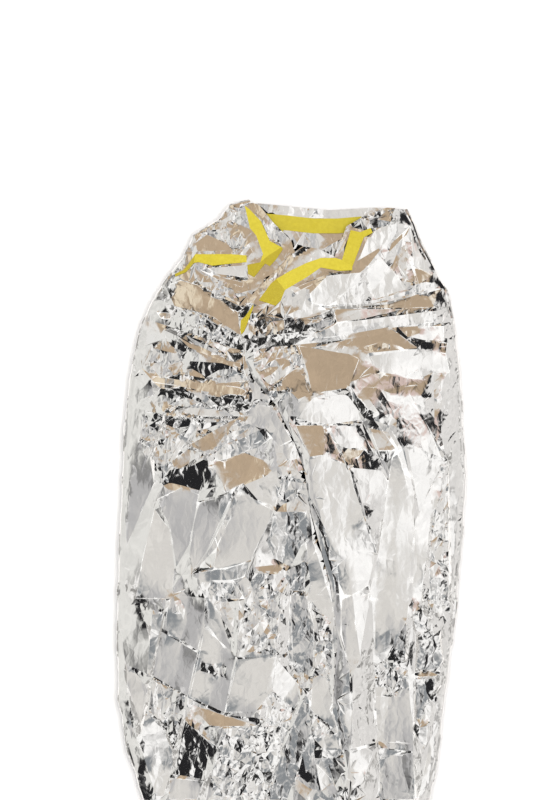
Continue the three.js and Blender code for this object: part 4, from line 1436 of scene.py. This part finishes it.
# Steep facets mirror dark and bright patches: how small these are, the slopes over which they
# come in, the slopes over which they pale, the share that is left, and their tones.
MOSAIC_SCALE = 7
MOSAIC_START = (0.12, 0.19)
MOSAIC_FADE = (0.45, 0.80)
MOSAIC_LEFT = 0.45
MOSAIC_TONES = [(0.0, 0.01), (0.47, 0.015), (0.49, 0.30), (0.53, 0.55), (0.55, 1.08), (1.0, 1.1)]
UNEVEN_SCALE = 9        # how small the patches of the room's light are
UNEVEN = 0.11           # and how strong
UNEVEN_NOISE = (0.3, 0.7)          # the noise over which they go from dark to bright
GRAZING = -0.5          # least height of a direction that counts in a facet's slope


def studio_world():
    world = bpy.data.worlds.new("studio")
    bpy.context.scene.world = world
    world.use_nodes = True
    nodes, links = world.node_tree.nodes, world.node_tree.links
    background = nodes["Background"]
    place = nodes.new("ShaderNodeTexCoord").outputs["Generated"]
    split = nodes.new("ShaderNodeSeparateXYZ")
    links.new(place, split.inputs[0])

    def step(value, low, high, smooth=True, **ends):
        """0 to 1, or between other ends, as a value goes from low to high."""
        ramp = add_node(nodes, "MapRange", From_Min=low, From_Max=high, **ends)
        if smooth:
            ramp.interpolation_type = "SMOOTHSTEP"
        links.new(value, ramp.inputs["Value"])
        return ramp.outputs[0]

    # The slope of a level surface's facet that mirrors this direction to a viewer above.
    above = maths(nodes, links, "ADD", maths(nodes, links, "MAXIMUM", split.outputs[2], GRAZING), 1.0)
    slope = [maths(nodes, links, "DIVIDE", split.outputs[k], above) for k in (0, 1)]
    lean = nodes.new("ShaderNodeCombineXYZ")
    for k in (0, 1):
        links.new(slope[k], lean.inputs[k])
    steep = nodes.new("ShaderNodeVectorMath")
    steep.operation = "LENGTH"
    links.new(lean.outputs[0], steep.inputs[0])

    patches = add_node(nodes, "TexNoise", Scale=MOSAIC_SCALE, Detail=2)
    links.new(lean.outputs[0], patches.inputs["Vector"])
    tones = nodes.new("ShaderNodeValToRGB")
    while len(tones.color_ramp.elements) < len(MOSAIC_TONES):
        tones.color_ramp.elements.new(0.5)
    for element, (at, tone) in zip(tones.color_ramp.elements, MOSAIC_TONES):
        element.position = at
        element.color = (tone, tone, tone, 1)
    links.new(patches.outputs["Fac"], tones.inputs["Fac"])
    mosaic = maths(
        nodes, links, "MULTIPLY", step(steep.outputs["Value"], *MOSAIC_START),
        step(steep.outputs["Value"], *MOSAIC_FADE, smooth=False, To_Min=1.0, To_Max=MOSAIC_LEFT),
    )
    base = add_node(nodes, "MixRGB", Color1=(*ROOM, 1))
    links.new(mosaic, base.inputs["Fac"])
    links.new(tones.outputs["Color"], base.inputs["Color2"])
    colour = base.outputs[0]

    for cx, cy, rx, ry, soft, tone in CARDS:
        masks = []
        for value, centre, half in ((slope[0], cx, rx), (slope[1], cy, ry)):
            away = maths(nodes, links, "ABSOLUTE", maths(nodes, links, "SUBTRACT", value, centre))
            masks.append(step(away, half + soft, half - soft))
        mix = add_node(nodes, "MixRGB", Color2=(*tone, 1))
        links.new(maths(nodes, links, "MULTIPLY", *masks), mix.inputs["Fac"])
        links.new(colour, mix.inputs["Color1"])
        colour = mix.outputs[0]

    # The room isn't even, so a plain facet shows soft gradients and streaks.
    cloud = add_node(nodes, "TexNoise", Scale=UNEVEN_SCALE, Detail=4)
    links.new(place, cloud.inputs["Vector"])
    ends = {"To_Min": 1 - UNEVEN, "To_Max": 1 + UNEVEN}
    gain = step(cloud.outputs["Fac"], *UNEVEN_NOISE, smooth=False, **ends)
    uneven = nodes.new("ShaderNodeVectorMath")
    uneven.operation = "SCALE"
    links.new(colour, uneven.inputs[0])
    links.new(gain, uneven.inputs["Scale"])
    links.new(uneven.outputs[0], background.inputs["Color"])
    background.inputs["Strength"].default_value = 1.0


studio_world()


def soft_light(name, place, aim, size, power):
    data = bpy.data.lights.new(name, "AREA")
    data.shape = "SQUARE"
    data.size = size
    data.energy = power
    light = bpy.data.objects.new(name, data)
    bpy.context.scene.collection.objects.link(light)
    light.location = place
    light.rotation_euler = (Vector(aim) - Vector(place)).to_track_quat("-Z", "Y").to_euler()
    light.visible_glossy = False
    return light


soft_light("fill", (0.3, 0.6, 4.5), (0, 0, 0), 3.0, 165)

# The camera looks straight down at the photograph's framing.
VIEW_HEIGHT = 1.168     # metres of the plan in the frame's height
VIEW_CENTRE = (-39.0, 204.0)
CAMERA_AWAY = 4.0
SENSOR = 36.0
camera_data = bpy.data.cameras.new("camera")
camera_data.sensor_width = SENSOR
camera_data.lens = SENSOR * CAMERA_AWAY / VIEW_HEIGHT
camera = bpy.data.objects.new("camera", camera_data)
bpy.context.scene.collection.objects.link(camera)
camera.location = (
    (VIEW_CENTRE[0] + SHIFT[0]) * MM,
    (VIEW_CENTRE[1] + SHIFT[1]) * MM,
    CAMERA_AWAY + BOX_HIGH.z / 2,
)
bpy.context.scene.camera = camera
bpy.context.scene.view_settings.view_transform = "Standard"
